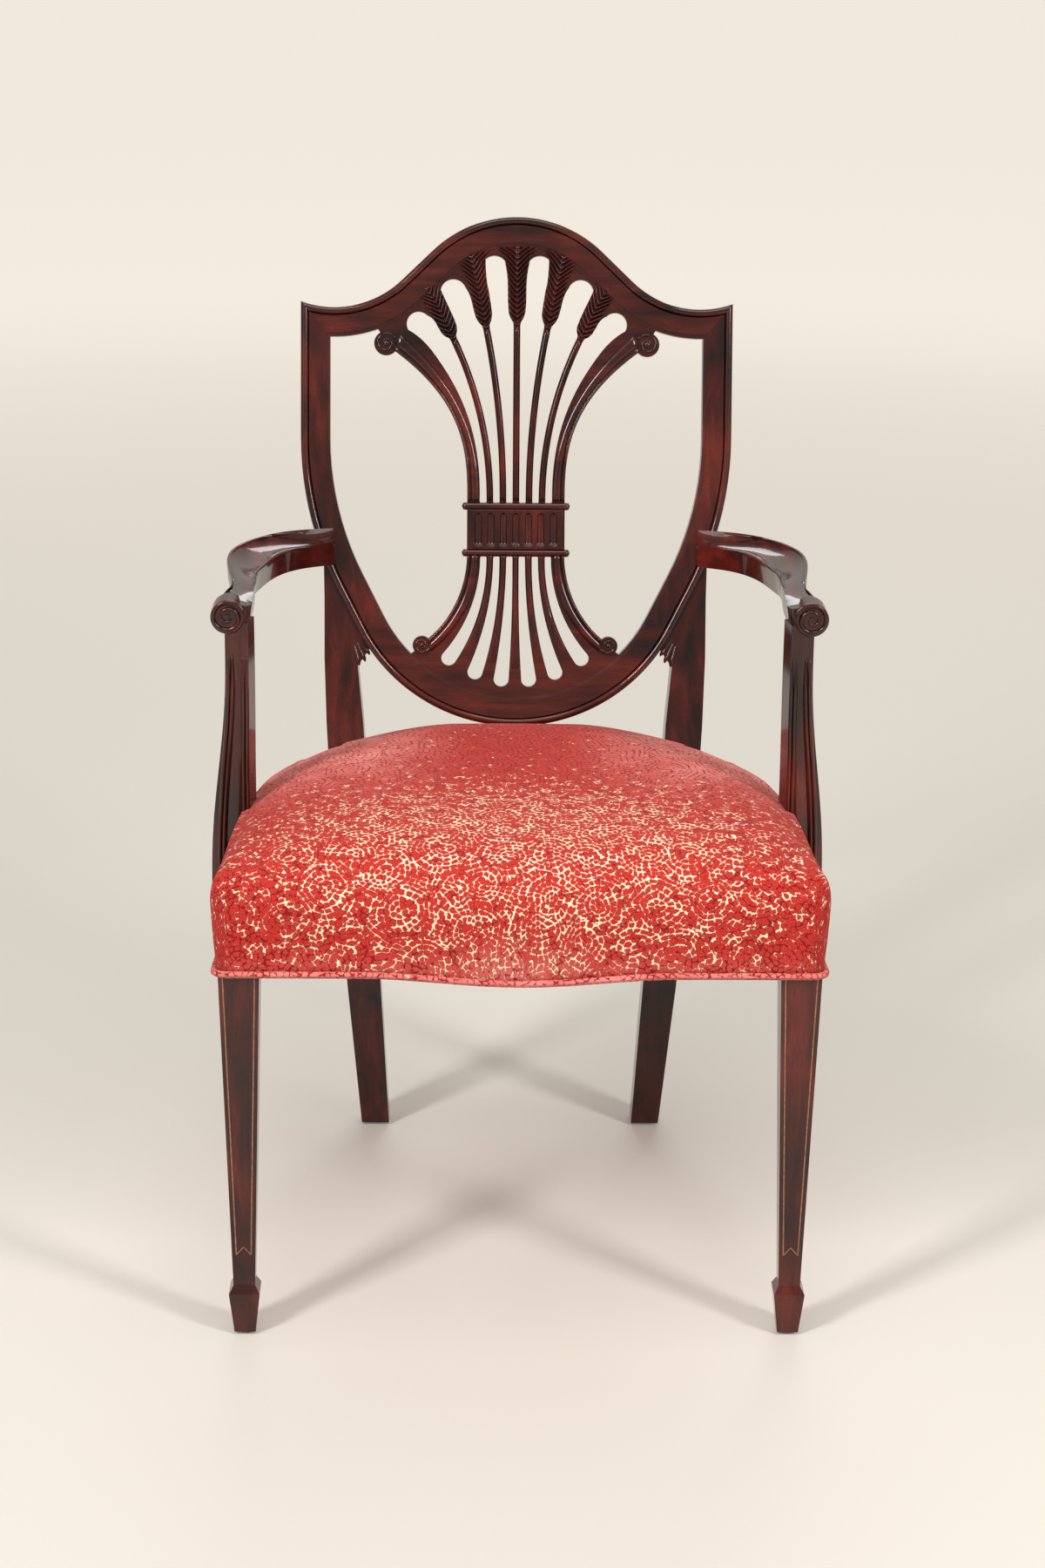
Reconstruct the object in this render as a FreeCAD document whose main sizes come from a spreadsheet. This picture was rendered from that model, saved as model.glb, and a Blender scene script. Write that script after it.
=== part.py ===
import FreeCAD, Part
import math
import os
import Sketcher
from FreeCAD import Placement, Rotation, Vector

# A shield back armchair in mahogany with an upholstered, over-the-rail seat.
# X is to the sitter's side, +Y to the back, +Z up; the origin is on the floor under the middle
# of the chair's outline. Lengths are in millimetres and angles in degrees.

doc = FreeCAD.newDocument("ShieldBackArmchair")
sheet = doc.addObject("Spreadsheet::Sheet", "Sizes")

sizes = [
    # front legs and their spade feet
    ("front_leg_x", 257.8, "middle of the chair to the centre of a front leg"),
    ("front_leg_reach", 256.6, "origin to the centre of a front leg, forwards"),
    ("front_leg_width", 38.0, "square of a front leg under the rails"),
    ("ankle_width", 20.5, "square of a front leg just above its foot"),
    ("ankle_height", 52.0, "floor to the end of the leg's taper"),
    ("collar_width", 29.0, "square of the spade foot at its widest"),
    ("collar_height", 44.0, "floor to the foot's widest line"),
    ("toe_width", 20.0, "square of the spade foot at the bottom"),
    ("glide_height", 3.0, "floor to the wood"),
    ("glide_radius", 8.0, "radius of a nail-on glide"),
    ("leg_corner_cut", 6.0, "chamfer of the leg's outer corner under the cover"),
    # seat frame
    ("rail_bottom", 370.0, "floor to the underside of the seat rails"),
    ("rail_height", 66.0, "depth of a seat rail"),
    ("rail_thickness", 25.0, "thickness of a seat rail"),
    ("rear_rail_thickness", 22.0, "thickness of the rear seat rail"),
    ("bow_depth", 21.0, "how far the front rail bows forwards"),
    ("bow_reach", 150.0, "middle of the chair to where the bow has run out"),
    ("side_swell", 19.0, "how far a side rail swells past its straight line"),
    ("block_height", 44.0, "height of a corner block"),
    ("block_leg", 56.0, "length of a corner block along a rail"),
    ("block_drop", 9.0, "rail top to the top of a corner block"),
    # rear legs
    ("rear_foot_x", 147.0, "middle of the chair to the centre of a rear foot"),
    ("rear_foot_y", 227.9, "origin to the front of a rear foot"),
    ("rear_foot_width", 29.5, "square of a rear leg at the floor"),
    ("post_x", 169.2, "middle of the chair to the centre of a rear post, at the rail's underside"),
    ("post_y", 167.4, "origin to the front of a rear post at the seat"),
    ("post_width", 38.0, "width of a rear post at the seat"),
    ("post_waist", 33.5, "width of a rear post between the seat and the shield"),
    ("post_waist_rise", 104.0, "rail top to the rear post's waist"),
    ("post_merge", 172.0, "shield's foot to where a post's outer side runs into the frame"),
    ("post_recess", 4.0, "how far the rear post stands behind the shield's face"),
    # shield frame
    ("shield_clearance", 35.5, "rail top to the bottom of the shield"),
    ("shield_setback", 6.3, "front of the rear post to the shield's face at its foot"),
    ("rake", 12.3, "lean of the back"),
    ("shield_half_width", 221.0, "middle of the shield to its outer edge"),
    ("shield_band", 30.0, "width of the shield's moulded frame"),
    ("shield_thickness", 21.0, "thickness of the shield's frame"),
    ("foot_radius", 182.0, "outer radius of the shield's foot"),
    ("foot_angle", 63.0, "half angle of the foot's arc"),
    ("flank_length", 48.4, "straight stretch between the foot's arc and the side's arc"),
    ("hollow_height", 428.7, "shield's foot to the lowest point of the crest's hollows"),
    ("crest_rise", 92.3, "hollows to the crest's top"),
    ("crest_slope", 43.6, "steepest angle of the crest"),
    ("hollow_radius", 100.0, "radius of the crest's hollows"),
    ("ear_inset", 34.0, "outer edge of the shield to the lowest point of a hollow"),
    ("bead_width", 8.0, "width of the bead round the shield"),
    ("bead_rise", 3.4, "height of that bead above its quirk"),
    ("quirk_depth", 2.0, "how deep the quirk beside the bead lies under the frame's face"),
    ("fillet_width", 3.8, "width of the fillet along the frame's inner edge"),
    ("fillet_drop", 1.5, "how far that fillet lies under the frame's face"),
    ("back_bevel", 3.0, "bevel round the back of the frame's outer edge"),
    # pierced splat
    ("splat_thickness", 12.0, "thickness of the splat"),
    ("splat_recess", 3.0, "how far the splat lies behind the shield's face"),
    ("tongue", 6.0, "how far the splat is housed in the frame"),
    ("scroll_proud", 1.5, "how far the splat's scrolls stand in front of it"),
    ("binding_height", 202.8, "shield's foot to the middle of the binding"),
    ("binding_block", 40.5, "height of the fluted block of the binding"),
    ("binding_half_width", 50.2, "half width of the fluted block"),
    ("binding_proud", 2.0, "how far the block stands in front of the splat"),
    ("binding_bead", 7.4, "height of each bead round the binding"),
    ("bead_overhang", 4.0, "how far those beads pass the block at each end"),
    ("flute_spacing", 12.85, "spacing of the flutes"),
    ("flute_radius", 2.6, "radius of a flute"),
    ("stem_spacing", 13.4, "spacing of the stems at the binding"),
    ("slot_radius", 3.4, "radius of the piercings' ends at the binding"),
    ("band_width", 13.0, "width of the outer bands at the binding"),
    ("inner_neck_x", 31.2, "middle to the neck of the inner wheat ears"),
    ("outer_neck_x", 64.7, "middle to the neck of the outer wheat ears"),
    ("centre_ear", 80.0, "length of the centre wheat ear"),
    ("inner_ear", 78.0, "length of the inner wheat ears"),
    ("outer_ear", 62.0, "length of the outer wheat ears"),
    ("ear_half_width", 9.6, "half width of a wheat ear"),
    ("neck_half_width", 3.4, "half width of an ear's neck"),
    ("centre_neck", 411.0, "shield's foot to the neck of the centre wheat ear"),
    ("inner_neck", 408.0, "shield's foot to the necks of the inner wheat ears"),
    ("outer_neck", 397.0, "shield's foot to the necks of the outer wheat ears"),
    ("inner_head_x", 22.9, "middle to the head of the inner piercings"),
    ("middle_head_x", 66.3, "middle to the head of the middle piercings"),
    ("outer_head_x", 99.5, "middle to the head of the outer piercings"),
    ("top_web", 6.5, "wood between the piercings and the crest"),
    ("top_scroll_x", 133.7, "middle to the centre of an upper scroll"),
    ("top_scroll_radius", 12.3, "radius of an upper scroll"),
    ("top_scroll_gap", 5.6, "upper scroll to the crest's inner edge"),
    ("low_scroll_x", 96.3, "middle to the centre of a lower scroll"),
    ("low_scroll_y", 83.4, "shield's foot to the centre of a lower scroll"),
    ("low_scroll_radius", 9.5, "radius of a lower scroll"),
    ("low_slot_radius", 7.7, "radius of the lower piercings' round ends"),
    ("inner_slot_x", 14.2, "middle to the round end of the inner lower piercings"),
    ("inner_slot_y", 48.5, "shield's foot to the round end of the inner lower piercings"),
    ("middle_slot_x", 41.3, "middle to the round end of the middle lower piercings"),
    ("middle_slot_y", 55.8, "shield's foot to the round end of the middle lower piercings"),
    ("outer_slot_x", 68.4, "middle to the round end of the outer lower piercings"),
    ("outer_slot_y", 70.1, "shield's foot to the round end of the outer lower piercings"),
    # arms and their supports
    ("arm_top", 670.0, "floor to the top of an arm"),
    ("arm_thickness", 35.0, "depth of an arm behind the elbow"),
    ("arm_width", 42.0, "width of an arm at the elbow"),
    ("arm_out_x", 287.3, "middle of the chair to the outside of an arm"),
    ("arm_length", 299.0, "shield's face to the front of an arm"),
    ("wrist_width", 24.1, "width of an arm just behind its scroll"),
    ("scroll_radius", 16.2, "radius of the scroll at the front of an arm"),
    ("scroll_inset", 11.1, "outside of the arm to the centre of its scroll"),
    ("scroll_length", 30.0, "length of the scroll before it runs back into the arm"),
    ("support_base_width", 40.0, "width of a support at the seat rail"),
    ("support_top_width", 22.5, "width of a support under the arm"),
    ("support_depth", 28.0, "front to back of a support"),
    ("support_foot", 8.0, "rail's underside to the bottom of a support"),
    # upholstery
    ("cover_thickness", 2.0, "cover and its wadding over the rails"),
    ("cover_drop", 3.0, "how far the cover hangs under the rails' lower edge"),
    ("cushion_bulge", 6.0, "how far the padding stands out over the rail tops"),
    ("cushion_edge", 30.0, "rail top to the shoulder of the seat"),
    ("crown_height", 24.0, "shoulder of the seat to the top of its crown"),
    ("seat_corner_radius", 10.0, "radius of the seat's front corners"),
    ("welt_radius", 3.2, "radius of the welt along the cover's lower edge"),
    ("strap_width", 50.0, "width of a webbing strap"),
    ("strap_thickness", 1.5, "thickness of a webbing strap"),
    ("dust_cover_thickness", 1.0, "thickness of the dust cover"),
    # fastenings
    ("dowel_radius", 4.5, "radius of a dowel"),
    ("dowel_length", 40.0, "length of a dowel"),
    ("dowel_spacing", 32.0, "height between the two dowels of a joint"),
    ("screw_radius", 2.2, "radius of a wood screw"),
    ("screw_head_radius", 4.2, "radius of a wood screw's head"),
    ("screw_length", 34.0, "length of a wood screw"),
]

for row, (name, value, note) in enumerate(sizes, start=1):
    sheet.set("A%d" % row, name)
    sheet.set("B%d" % row, str(value))
    sheet.set("C%d" % row, note)
    sheet.setAlias("B%d" % row, name)
doc.recompute()

sides = (("left", -1), ("right", 1))


class Dim:
    # A length that keeps both its value and the expression that ties it to the sheet.

    def __init__(self, text, value):
        self.text = text
        self.value = value

    def __add__(self, other):
        other = dim(other)
        return Dim("(%s + %s)" % (self.text, other.text), self.value + other.value)

    def __sub__(self, other):
        other = dim(other)
        return Dim("(%s - %s)" % (self.text, other.text), self.value - other.value)

    def __mul__(self, other):
        other = dim(other)
        return Dim("(%s * %s)" % (self.text, other.text), self.value * other.value)

    def __truediv__(self, other):
        other = dim(other)
        return Dim("(%s / %s)" % (self.text, other.text), self.value / other.value)

    def __rmul__(self, other):
        return dim(other) * self


def dim(value):
    if isinstance(value, Dim):
        return value
    return Dim("(%s)" % repr(float(value)), float(value))


def size(name):
    return Dim("Sizes." + name, float(sheet.get(name)))


def mm(name):
    return float(sheet.get(name))


def bind(item, path, length):
    item.setExpression(path, dim(length).text)


# Bodies made from sketches

def new_body(label):
    body = doc.addObject("PartDesign::Body", label)
    body.Label = label
    return body


def origin_plane(body, role):
    return next(f for f in body.Origin.OriginFeatures if f.Role == role)


def polygon_sketch(body, name, corners, height, role="XY_Plane"):
    sketch = body.newObject("Sketcher::SketchObject", name)
    sketch.AttachmentSupport = [(origin_plane(body, role), "")]
    sketch.MapMode = "FlatFace"
    sketch.AttachmentOffset = Placement(Vector(0, 0, dim(height).value), Rotation())
    bind(sketch, "AttachmentOffset.Base.z", height)
    corners = [(dim(x), dim(y)) for x, y in corners]
    count = len(corners)
    for i, (x, y) in enumerate(corners):
        next_x, next_y = corners[(i + 1) % count]
        start, end = Vector(x.value, y.value, 0), Vector(next_x.value, next_y.value, 0)
        sketch.addGeometry(Part.LineSegment(start, end), False)
    for i in range(count):
        sketch.addConstraint(Sketcher.Constraint("Coincident", i, 2, (i + 1) % count, 1))
    for i, (x, y) in enumerate(corners):
        for kind, length in (("DistanceX", x), ("DistanceY", y)):
            index = sketch.addConstraint(Sketcher.Constraint(kind, -1, 1, i, 1, length.value))
            bind(sketch, "Constraints[%d]" % index, length)
    return sketch


def pad(body, sketch, length):
    feature = body.newObject("PartDesign::Pad", "Pad")
    feature.Profile = sketch
    bind(feature, "Length", length)
    return feature


def loft(body, sketches):
    feature = body.newObject("PartDesign::AdditiveLoft", "Loft")
    feature.Profile = sketches[0]
    feature.Sections = sketches[1:]
    feature.Ruled = True
    return feature


def square(centre_x, centre_y, width):
    half = width / 2
    return [
        (centre_x - half, centre_y - half),
        (centre_x + half, centre_y - half),
        (centre_x + half, centre_y + half),
        (centre_x - half, centre_y + half),
    ]


def cylinder(name, radius, length, base, direction):
    item = doc.addObject("Part::Cylinder", name)
    bind(item, "Radius", radius)
    bind(item, "Height", length)
    item.Placement = Placement(Vector(0, 0, 0), Rotation(Vector(0, 0, 1), direction))
    for axis, place in zip("xyz", base):
        bind(item, "Placement.Base.%s" % axis, place)
    return item


def group(label, items):
    item = doc.addObject("Part::Compound", label)
    item.Label = label
    item.Links = items
    return item


def cut(label, base, tool):
    item = doc.addObject("Part::Cut", label)
    item.Base = base
    item.Tool = tool
    item.Label = label
    return item


def shape_part(label, shape):
    item = doc.addObject("Part::Feature", label)
    item.Shape = shape
    item.Label = label
    return item


def mirrored(shape):
    return shape.mirror(Vector(0, 0, 0), Vector(1, 0, 0))


def on_side(shape, side):
    return shape if side > 0 else mirrored(shape)


# Heights and lines that several pieces share

glide_height = size("glide_height")
rail_bottom = size("rail_bottom")
rail_top = rail_bottom + size("rail_height")
rail_middle = rail_bottom + size("rail_height") / 2
rail_thickness = size("rail_thickness")
leg_x = size("front_leg_x")
leg_y = -1 * size("front_leg_reach")
leg_half = size("front_leg_width") / 2
leg_inner_x = leg_x - leg_half
leg_outer_x = leg_x + leg_half
rail_front_y = leg_y - leg_half
leg_back_y = leg_y + leg_half
post_y = size("post_y")
post_half = size("post_width") / 2
post_lean = (size("post_x") - size("rear_foot_x")) / (rail_bottom - glide_height)


def post_centre_x(z):
    return size("post_x") + post_lean * (dim(z) - rail_bottom)


post_outer_x = post_centre_x(rail_top) + post_half
rear_rail_back_y = post_y + size("rear_rail_thickness")


def side_line_x(y):
    share = (dim(y) - rail_front_y) / (post_y - rail_front_y)
    swell = 4 * size("side_swell") * share * (dim(1) - share)
    return leg_outer_x + (post_outer_x - leg_outer_x) * share + swell


side_inner_front_x = side_line_x(leg_back_y) - rail_thickness
side_inner_rear_x = side_line_x(post_y) - rail_thickness


def side_inner_x(y):
    share = (dim(y) - leg_back_y) / (post_y - leg_back_y)
    return side_inner_front_x + (side_inner_rear_x - side_inner_front_x) * share


# Front legs: square to the rails, tapered on four sides, with a spade foot

def front_leg(label, side):
    x = side * leg_x
    body = new_body(label + "_blank")
    corner = side * size("leg_corner_cut")
    outer = x + side * leg_half
    inner = x - side * leg_half
    block = [
        (inner, rail_front_y),
        (outer - corner, rail_front_y),
        (outer, rail_front_y + size("leg_corner_cut")),
        (outer, leg_back_y),
        (inner, leg_back_y),
    ]
    pad(body, polygon_sketch(body, "Block", block, rail_bottom), size("rail_height"))
    stations = [
        (size("front_leg_width"), rail_bottom),
        (size("ankle_width"), size("ankle_height")),
        (size("collar_width"), size("collar_height")),
        (size("toe_width"), glide_height),
    ]
    for (upper, upper_z), (lower, lower_z) in zip(stations, stations[1:]):
        upper_sketch = polygon_sketch(body, "Upper", square(x, leg_y, upper), upper_z)
        lower_sketch = polygon_sketch(body, "Lower", square(x, leg_y, lower), lower_z)
        loft(body, [upper_sketch, lower_sketch])
    return body


# The rear rail stands between the two leaning posts, flush with their fronts

def rear_rail(label):
    body = new_body(label + "_blank")
    low = post_centre_x(rail_bottom) - post_half
    high = post_centre_x(rail_top) - post_half
    corners = [(-1 * low, rail_bottom), (low, rail_bottom), (high, rail_top), (-1 * high, rail_top)]
    sketch = polygon_sketch(body, "Face", corners, -1 * rear_rail_back_y, "XZ_Plane")
    pad(body, sketch, size("rear_rail_thickness"))
    return body


# Corner blocks fill the corners of the seat frame

def corner_block_plan(at_front):
    along = size("block_leg")
    if at_front:
        front = rail_front_y + rail_thickness
        back = leg_back_y + along - leg_half / 2
        return [
            (leg_inner_x - along, front),
            (leg_inner_x, front),
            (leg_inner_x, leg_back_y),
            (side_inner_front_x, leg_back_y),
            (side_inner_x(back), back),
        ]
    return [
        (side_inner_rear_x - 1.25 * along, post_y),
        (side_inner_rear_x, post_y),
        (side_inner_x(post_y - along), post_y - along),
    ]


def corner_block(label, side, at_front):
    body = new_body(label + "_blank")
    corners = [(side * x, y) for x, y in corner_block_plan(at_front)]
    bottom = rail_top - size("block_drop") - size("block_height")
    pad(body, polygon_sketch(body, "Plan", corners, bottom), size("block_height"))
    return body


# Dowels that join the rails to the legs and posts, two to a joint

def rail_dowels():
    items = []
    half = size("dowel_length") / 2
    rail_middle_y = rail_front_y + rail_thickness / 2
    side_front_x = side_line_x(leg_back_y) - rail_thickness / 2
    side_rear_x = side_line_x(post_y) - rail_thickness / 2
    rear_middle_y = post_y + size("rear_rail_thickness") / 2
    for side_name, side in sides:
        for level_name, level in (("low", -1), ("high", 1)):
            z = rail_middle + level * size("dowel_spacing") / 2
            post_inner_x = post_centre_x(z) - post_half
            joints = {
                "front": ((side * leg_inner_x - half, rail_middle_y, z), Vector(1, 0, 0)),
                "side_front": ((side * side_front_x, leg_back_y - half, z), Vector(0, 1, 0)),
                "side_rear": ((side * side_rear_x, post_y - half, z), Vector(0, 1, 0)),
                "rear": ((side * post_inner_x - half, rear_middle_y, z), Vector(1, 0, 0)),
            }
            for joint, (base, direction) in joints.items():
                name = "Dowel_%s_%s_%s" % (joint, side_name, level_name)
                items.append(cylinder(name, size("dowel_radius"), size("dowel_length"), base, direction))
    return group("rail_dowels", items)


def screw_shape(head, direction, length):
    shank = Part.makeCylinder(mm("screw_radius"), length, head, direction)
    top = Part.makeCone(mm("screw_head_radius"), mm("screw_radius"), mm("screw_head_radius"), head, direction)
    return shank.fuse(top)


# Seat outline: bowed front, swelled sides and a straight back, moved inwards by an inset

def seat_outline(inset, z, corner, back_y):
    shrink = max(inset, 0.0)
    share = 1 - shrink / leg_outer_x.value
    front_y = rail_front_y.value + inset
    depth = mm("bow_depth") * share
    reach = mm("bow_reach") * share
    total = (reach ** 2 + depth ** 2) / (2 * depth)
    first = 0.6 * total
    second = total - first
    turn_x = reach * first / total
    turn_y = front_y - depth + first - math.sqrt(first ** 2 - turn_x ** 2)
    mid_x = (turn_x + reach) / 2
    mid_y = front_y - second + math.sqrt(second ** 2 - (reach - mid_x) ** 2)
    start_y = front_y + corner
    end_y = post_y.value - shrink
    middle_y = (start_y + end_y) / 2
    side_x, middle_x, rear_x = [side_line_x(y).value - inset for y in (start_y, middle_y, end_y)]
    back = back_y - shrink
    bevel = 1 - math.sqrt(0.5)

    def arc(a, b, c):
        return Part.Arc(*[Vector(x, y, z) for x, y in (a, b, c)]).toShape()

    def line(a, b):
        return Part.makeLine(Vector(a[0], a[1], z), Vector(b[0], b[1], z))

    edges = [arc((-turn_x, turn_y), (0, front_y - depth), (turn_x, turn_y))]
    edges.append(arc((turn_x, turn_y), (mid_x, mid_y), (reach, front_y)))
    edges.append(line((reach, front_y), (side_x - corner, front_y)))
    near = corner * bevel
    edges.append(arc((side_x - corner, front_y), (side_x - near, front_y + near), (side_x, start_y)))
    edges.append(arc((side_x, start_y), (middle_x, middle_y), (rear_x, end_y)))
    edges.append(line((rear_x, end_y), (rear_x, back)))
    edges.append(line((rear_x, back), (-rear_x, back)))
    edges.extend(mirrored(edge) for edge in reversed(edges[1:6]))
    return edges


def outline_wire(inset, z, corner, back_y):
    return Part.Wire(Part.__sortEdges__(seat_outline(inset, z, corner, back_y)))


def prism(wire, height):
    return Part.Face(wire).extrude(Vector(0, 0, height))


def box(x0, y0, z0, x1, y1, z1):
    return Part.makeBox(x1 - x0, y1 - y0, z1 - z0, Vector(x0, y0, z0))


# Seat rails: the front and side rails are sawn to the seat's outline

def seat_block():
    wire = outline_wire(0.0, rail_bottom.value, mm("seat_corner_radius"), rear_rail_back_y.value)
    return prism(wire, mm("rail_height"))


def front_rail_shape(block):
    x = leg_inner_x.value
    front = rail_front_y.value
    low = front - 2 * mm("bow_depth")
    return block.common(box(-x, low, rail_bottom.value, x, front + mm("rail_thickness"), rail_top.value))


def side_rail_shape(block, side):
    reach = leg_outer_x.value + 2 * mm("side_swell")
    z = rail_bottom.value
    corners = [
        (side_inner_front_x.value, leg_back_y.value),
        (reach, leg_back_y.value),
        (reach, post_y.value),
        (side_inner_rear_x.value, post_y.value),
    ]
    wire = Part.makePolygon([Vector(x, y, z) for x, y in corners + corners[:1]])
    return block.common(on_side(prism(wire, mm("rail_height")), side))


# The shield is drawn in its own plane: u to the side, v up the rake, w forwards

rake = mm("rake")
shield_foot_z = rail_top.value + mm("shield_clearance")
shield_foot_y = post_y.value + mm("shield_setback")
shield_place = Placement(Vector(0, shield_foot_y, shield_foot_z), Rotation(Vector(1, 0, 0), 90 - rake))


def shield_face_y(z):
    return shield_foot_y + (z - shield_foot_z) * math.tan(math.radians(rake))


def shield_v(z):
    return (z - shield_foot_z) / math.cos(math.radians(rake))


def placed(shape):
    moved = shape.copy()
    moved.transformShape(shield_place.toMatrix())
    return moved


half_width = mm("shield_half_width")
band = mm("shield_band")
thickness = mm("shield_thickness")
foot_radius = mm("foot_radius")
foot_angle = math.radians(mm("foot_angle"))
flank = mm("flank_length")
hollow_v = mm("hollow_height")
hollow_radius = mm("hollow_radius")
slope = math.radians(mm("crest_slope"))
hollow_u = half_width - mm("ear_inset")
peak_v = hollow_v + mm("crest_rise")

foot_end = (foot_radius * math.sin(foot_angle), foot_radius * (1 - math.cos(foot_angle)))
flank_end = (foot_end[0] + flank * math.cos(foot_angle), foot_end[1] + flank * math.sin(foot_angle))
side_radius = (half_width - flank_end[0]) / (1 - math.sin(foot_angle))
side_centre = (half_width - side_radius, flank_end[1] + side_radius * math.cos(foot_angle))
crown_rise = hollow_u * math.tan(slope) - mm("crest_rise")
crown_radius = crown_rise / (1 / math.cos(slope) - 1) - hollow_radius
crown_centre_v = peak_v - crown_radius
crown_end = (crown_radius * math.sin(slope), crown_centre_v + crown_radius * math.cos(slope))
hollow_centre = (hollow_u, hollow_v + hollow_radius)
hollow_start = (hollow_u - hollow_radius * math.sin(slope), hollow_centre[1] - hollow_radius * math.cos(slope))
ear_v = hollow_centre[1] - math.sqrt(hollow_radius ** 2 - (half_width - hollow_u) ** 2)
inner_ear_u = half_width - band
inner_ear_v = hollow_centre[1] - math.sqrt((hollow_radius + band) ** 2 - (inner_ear_u - hollow_u) ** 2)


def crest_inner_v(u, offset=band):
    u = abs(u)
    radius = crown_radius - offset
    turn = radius * math.sin(slope)
    if u <= turn:
        return crown_centre_v + math.sqrt(radius ** 2 - u ** 2)
    outer = hollow_radius + offset
    start = hollow_u - outer * math.sin(slope)
    if u <= start:
        return crown_centre_v + radius * math.cos(slope) - (u - turn) * math.tan(slope)
    return hollow_centre[1] - math.sqrt(outer ** 2 - (u - hollow_u) ** 2)


def shield_outer_u(v):
    if v < foot_end[1]:
        return math.sqrt(foot_radius ** 2 - (foot_radius - v) ** 2)
    if v < flank_end[1]:
        return foot_end[0] + (v - foot_end[1]) / math.tan(foot_angle)
    if v < side_centre[1]:
        return side_centre[0] + math.sqrt(side_radius ** 2 - (side_centre[1] - v) ** 2)
    return half_width


def band_face(place):
    bead = mm("bead_width")
    quirk = -mm("quirk_depth")
    flat = bead + 0.6
    inner = band - mm("fillet_width")
    fillet_drop = mm("fillet_drop")
    back_bevel = mm("back_bevel")
    low = -thickness

    def arc(a, b, c):
        return Part.Arc(place(*a), place(*b), place(*c)).toShape()

    def line(a, b):
        return Part.makeLine(place(*a), place(*b))

    outline = [
        arc((0, quirk - 0.5), (bead / 2, quirk + mm("bead_rise")), (bead, quirk)),
        line((bead, quirk), (flat, 0)),
        line((flat, 0), (inner, 0)),
        line((inner, 0), (inner, -fillet_drop)),
        line((inner, -fillet_drop), (band, -1.5 * fillet_drop)),
        line((band, -1.5 * fillet_drop), (band, low)),
        line((band, low), (back_bevel, low)),
        line((back_bevel, low), (0, low + back_bevel)),
        line((0, low + back_bevel), (0, quirk - 0.5)),
    ]
    return Part.Face(Part.Wire(outline))


def band_arc(centre, radius, inward, start, sweep):
    start = math.radians(start)
    middle = Vector(centre[0], centre[1], 0)

    def place(n, w):
        reach = radius + inward * n
        return middle + Vector(reach * math.cos(start), reach * math.sin(start), w)

    return band_face(place).revolve(middle, Vector(0, 0, 1), sweep)


def band_line(start, end):
    along = Vector(end[0] - start[0], end[1] - start[1], 0)
    inward = Vector(-along.y, along.x, 0).normalize()

    def place(n, w):
        return Vector(start[0], start[1], 0) + inward * n + Vector(0, 0, w)

    return band_face(place).extrude(along)


def joined(shapes):
    whole = shapes[0].fuse(shapes[1:])
    return whole.removeSplitter()


def flat_prism(points, low, high):
    corners = [Vector(u, v, low) for u, v in points]
    return Part.Face(Part.makePolygon(corners + corners[:1])).extrude(Vector(0, 0, high - low))


def mitre_cutter(beyond):
    start = Vector(inner_ear_u, inner_ear_v, 0)
    end = Vector(half_width, ear_v, 0)
    along = (end - start).normalize()
    aside = Vector(along.y, -along.x, 0) * beyond
    first, last = start - along * 60, end + along * 60
    corners = [first, last, last + aside * 90, first + aside * 90]
    return flat_prism([(p.x, p.y) for p in corners], -60, 60)


def shield_rail_shape():
    degrees = math.degrees(foot_angle)
    return band_arc((0, foot_radius), foot_radius, -1, -90 - degrees, 2 * degrees)


def stile_shape():
    degrees = math.degrees(foot_angle)
    flank_piece = band_line(foot_end, flank_end)
    curve = band_arc(side_centre, side_radius, -1, degrees - 90, 90 - degrees)
    upright = band_line((half_width, side_centre[1]), (half_width, ear_v + 15))
    return joined([flank_piece, curve, upright]).cut(mitre_cutter(-1))


def crest_shape():
    degrees = math.degrees(slope)
    crown = band_arc((0, crown_centre_v), crown_radius, -1, 90 - degrees, 2 * degrees)
    pieces = [crown]
    for side in (-1, 1):
        run = band_line(hollow_start, crown_end)
        hollow = band_arc(hollow_centre, hollow_radius, 1, 270 - degrees, degrees + 30)
        wing = run.fuse(hollow).cut(mitre_cutter(1))
        pieces.append(on_side(wing, side))
    return joined(pieces)


# Splat

tongue = mm("tongue")
splat_front = -mm("splat_recess")
splat_back = splat_front - mm("splat_thickness")
block_half = mm("binding_block") / 2
binding_v = mm("binding_height")
block_low = binding_v - block_half
block_high = binding_v + block_half
bead = mm("binding_bead")
block_u = mm("binding_half_width")


def curve_through(points):
    spline = Part.BSplineCurve()
    spline.interpolate([Vector(u, v, 0) for u, v in points])
    return spline.toShape()


def arc_through(a, b, c):
    return Part.Arc(Vector(a[0], a[1], 0), Vector(b[0], b[1], 0), Vector(c[0], c[1], 0)).toShape()


def raised(edges):
    face = Part.Face(Part.Wire(edges))
    solid = face.extrude(Vector(0, 0, splat_front - splat_back + 2))
    solid.translate(Vector(0, 0, splat_back - 1))
    return solid


def bent_stem(start_u, start_v, end_u, end_v, count=10):
    # a stem that leaves the binding upright and bends away as an arc, as points with headings
    across, up = end_u - start_u, end_v - start_v
    if abs(across) < 0.01:
        return [(start_u, start_v + up * i / count, 0.0) for i in range(count + 1)]
    radius = (across ** 2 + up ** 2) / (2 * abs(across))
    total = math.copysign(math.asin(min(abs(up) / radius, 1.0)), up)
    turn = math.copysign(1, across)
    points = []
    for i in range(count + 1):
        angle = total * i / count
        points.append((start_u + turn * radius * (1 - math.cos(angle)),
                       start_v + radius * math.sin(angle), turn * angle))
    return points


# a wheat ear's outline: share of its length above the neck, share of its half width
ear_profile = [(0.03, 0.36), (0.07, 0.5), (0.11, 0.72), (0.16, 0.86), (0.22, 0.92), (0.32, 0.96), (0.56, 1.0)]


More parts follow.
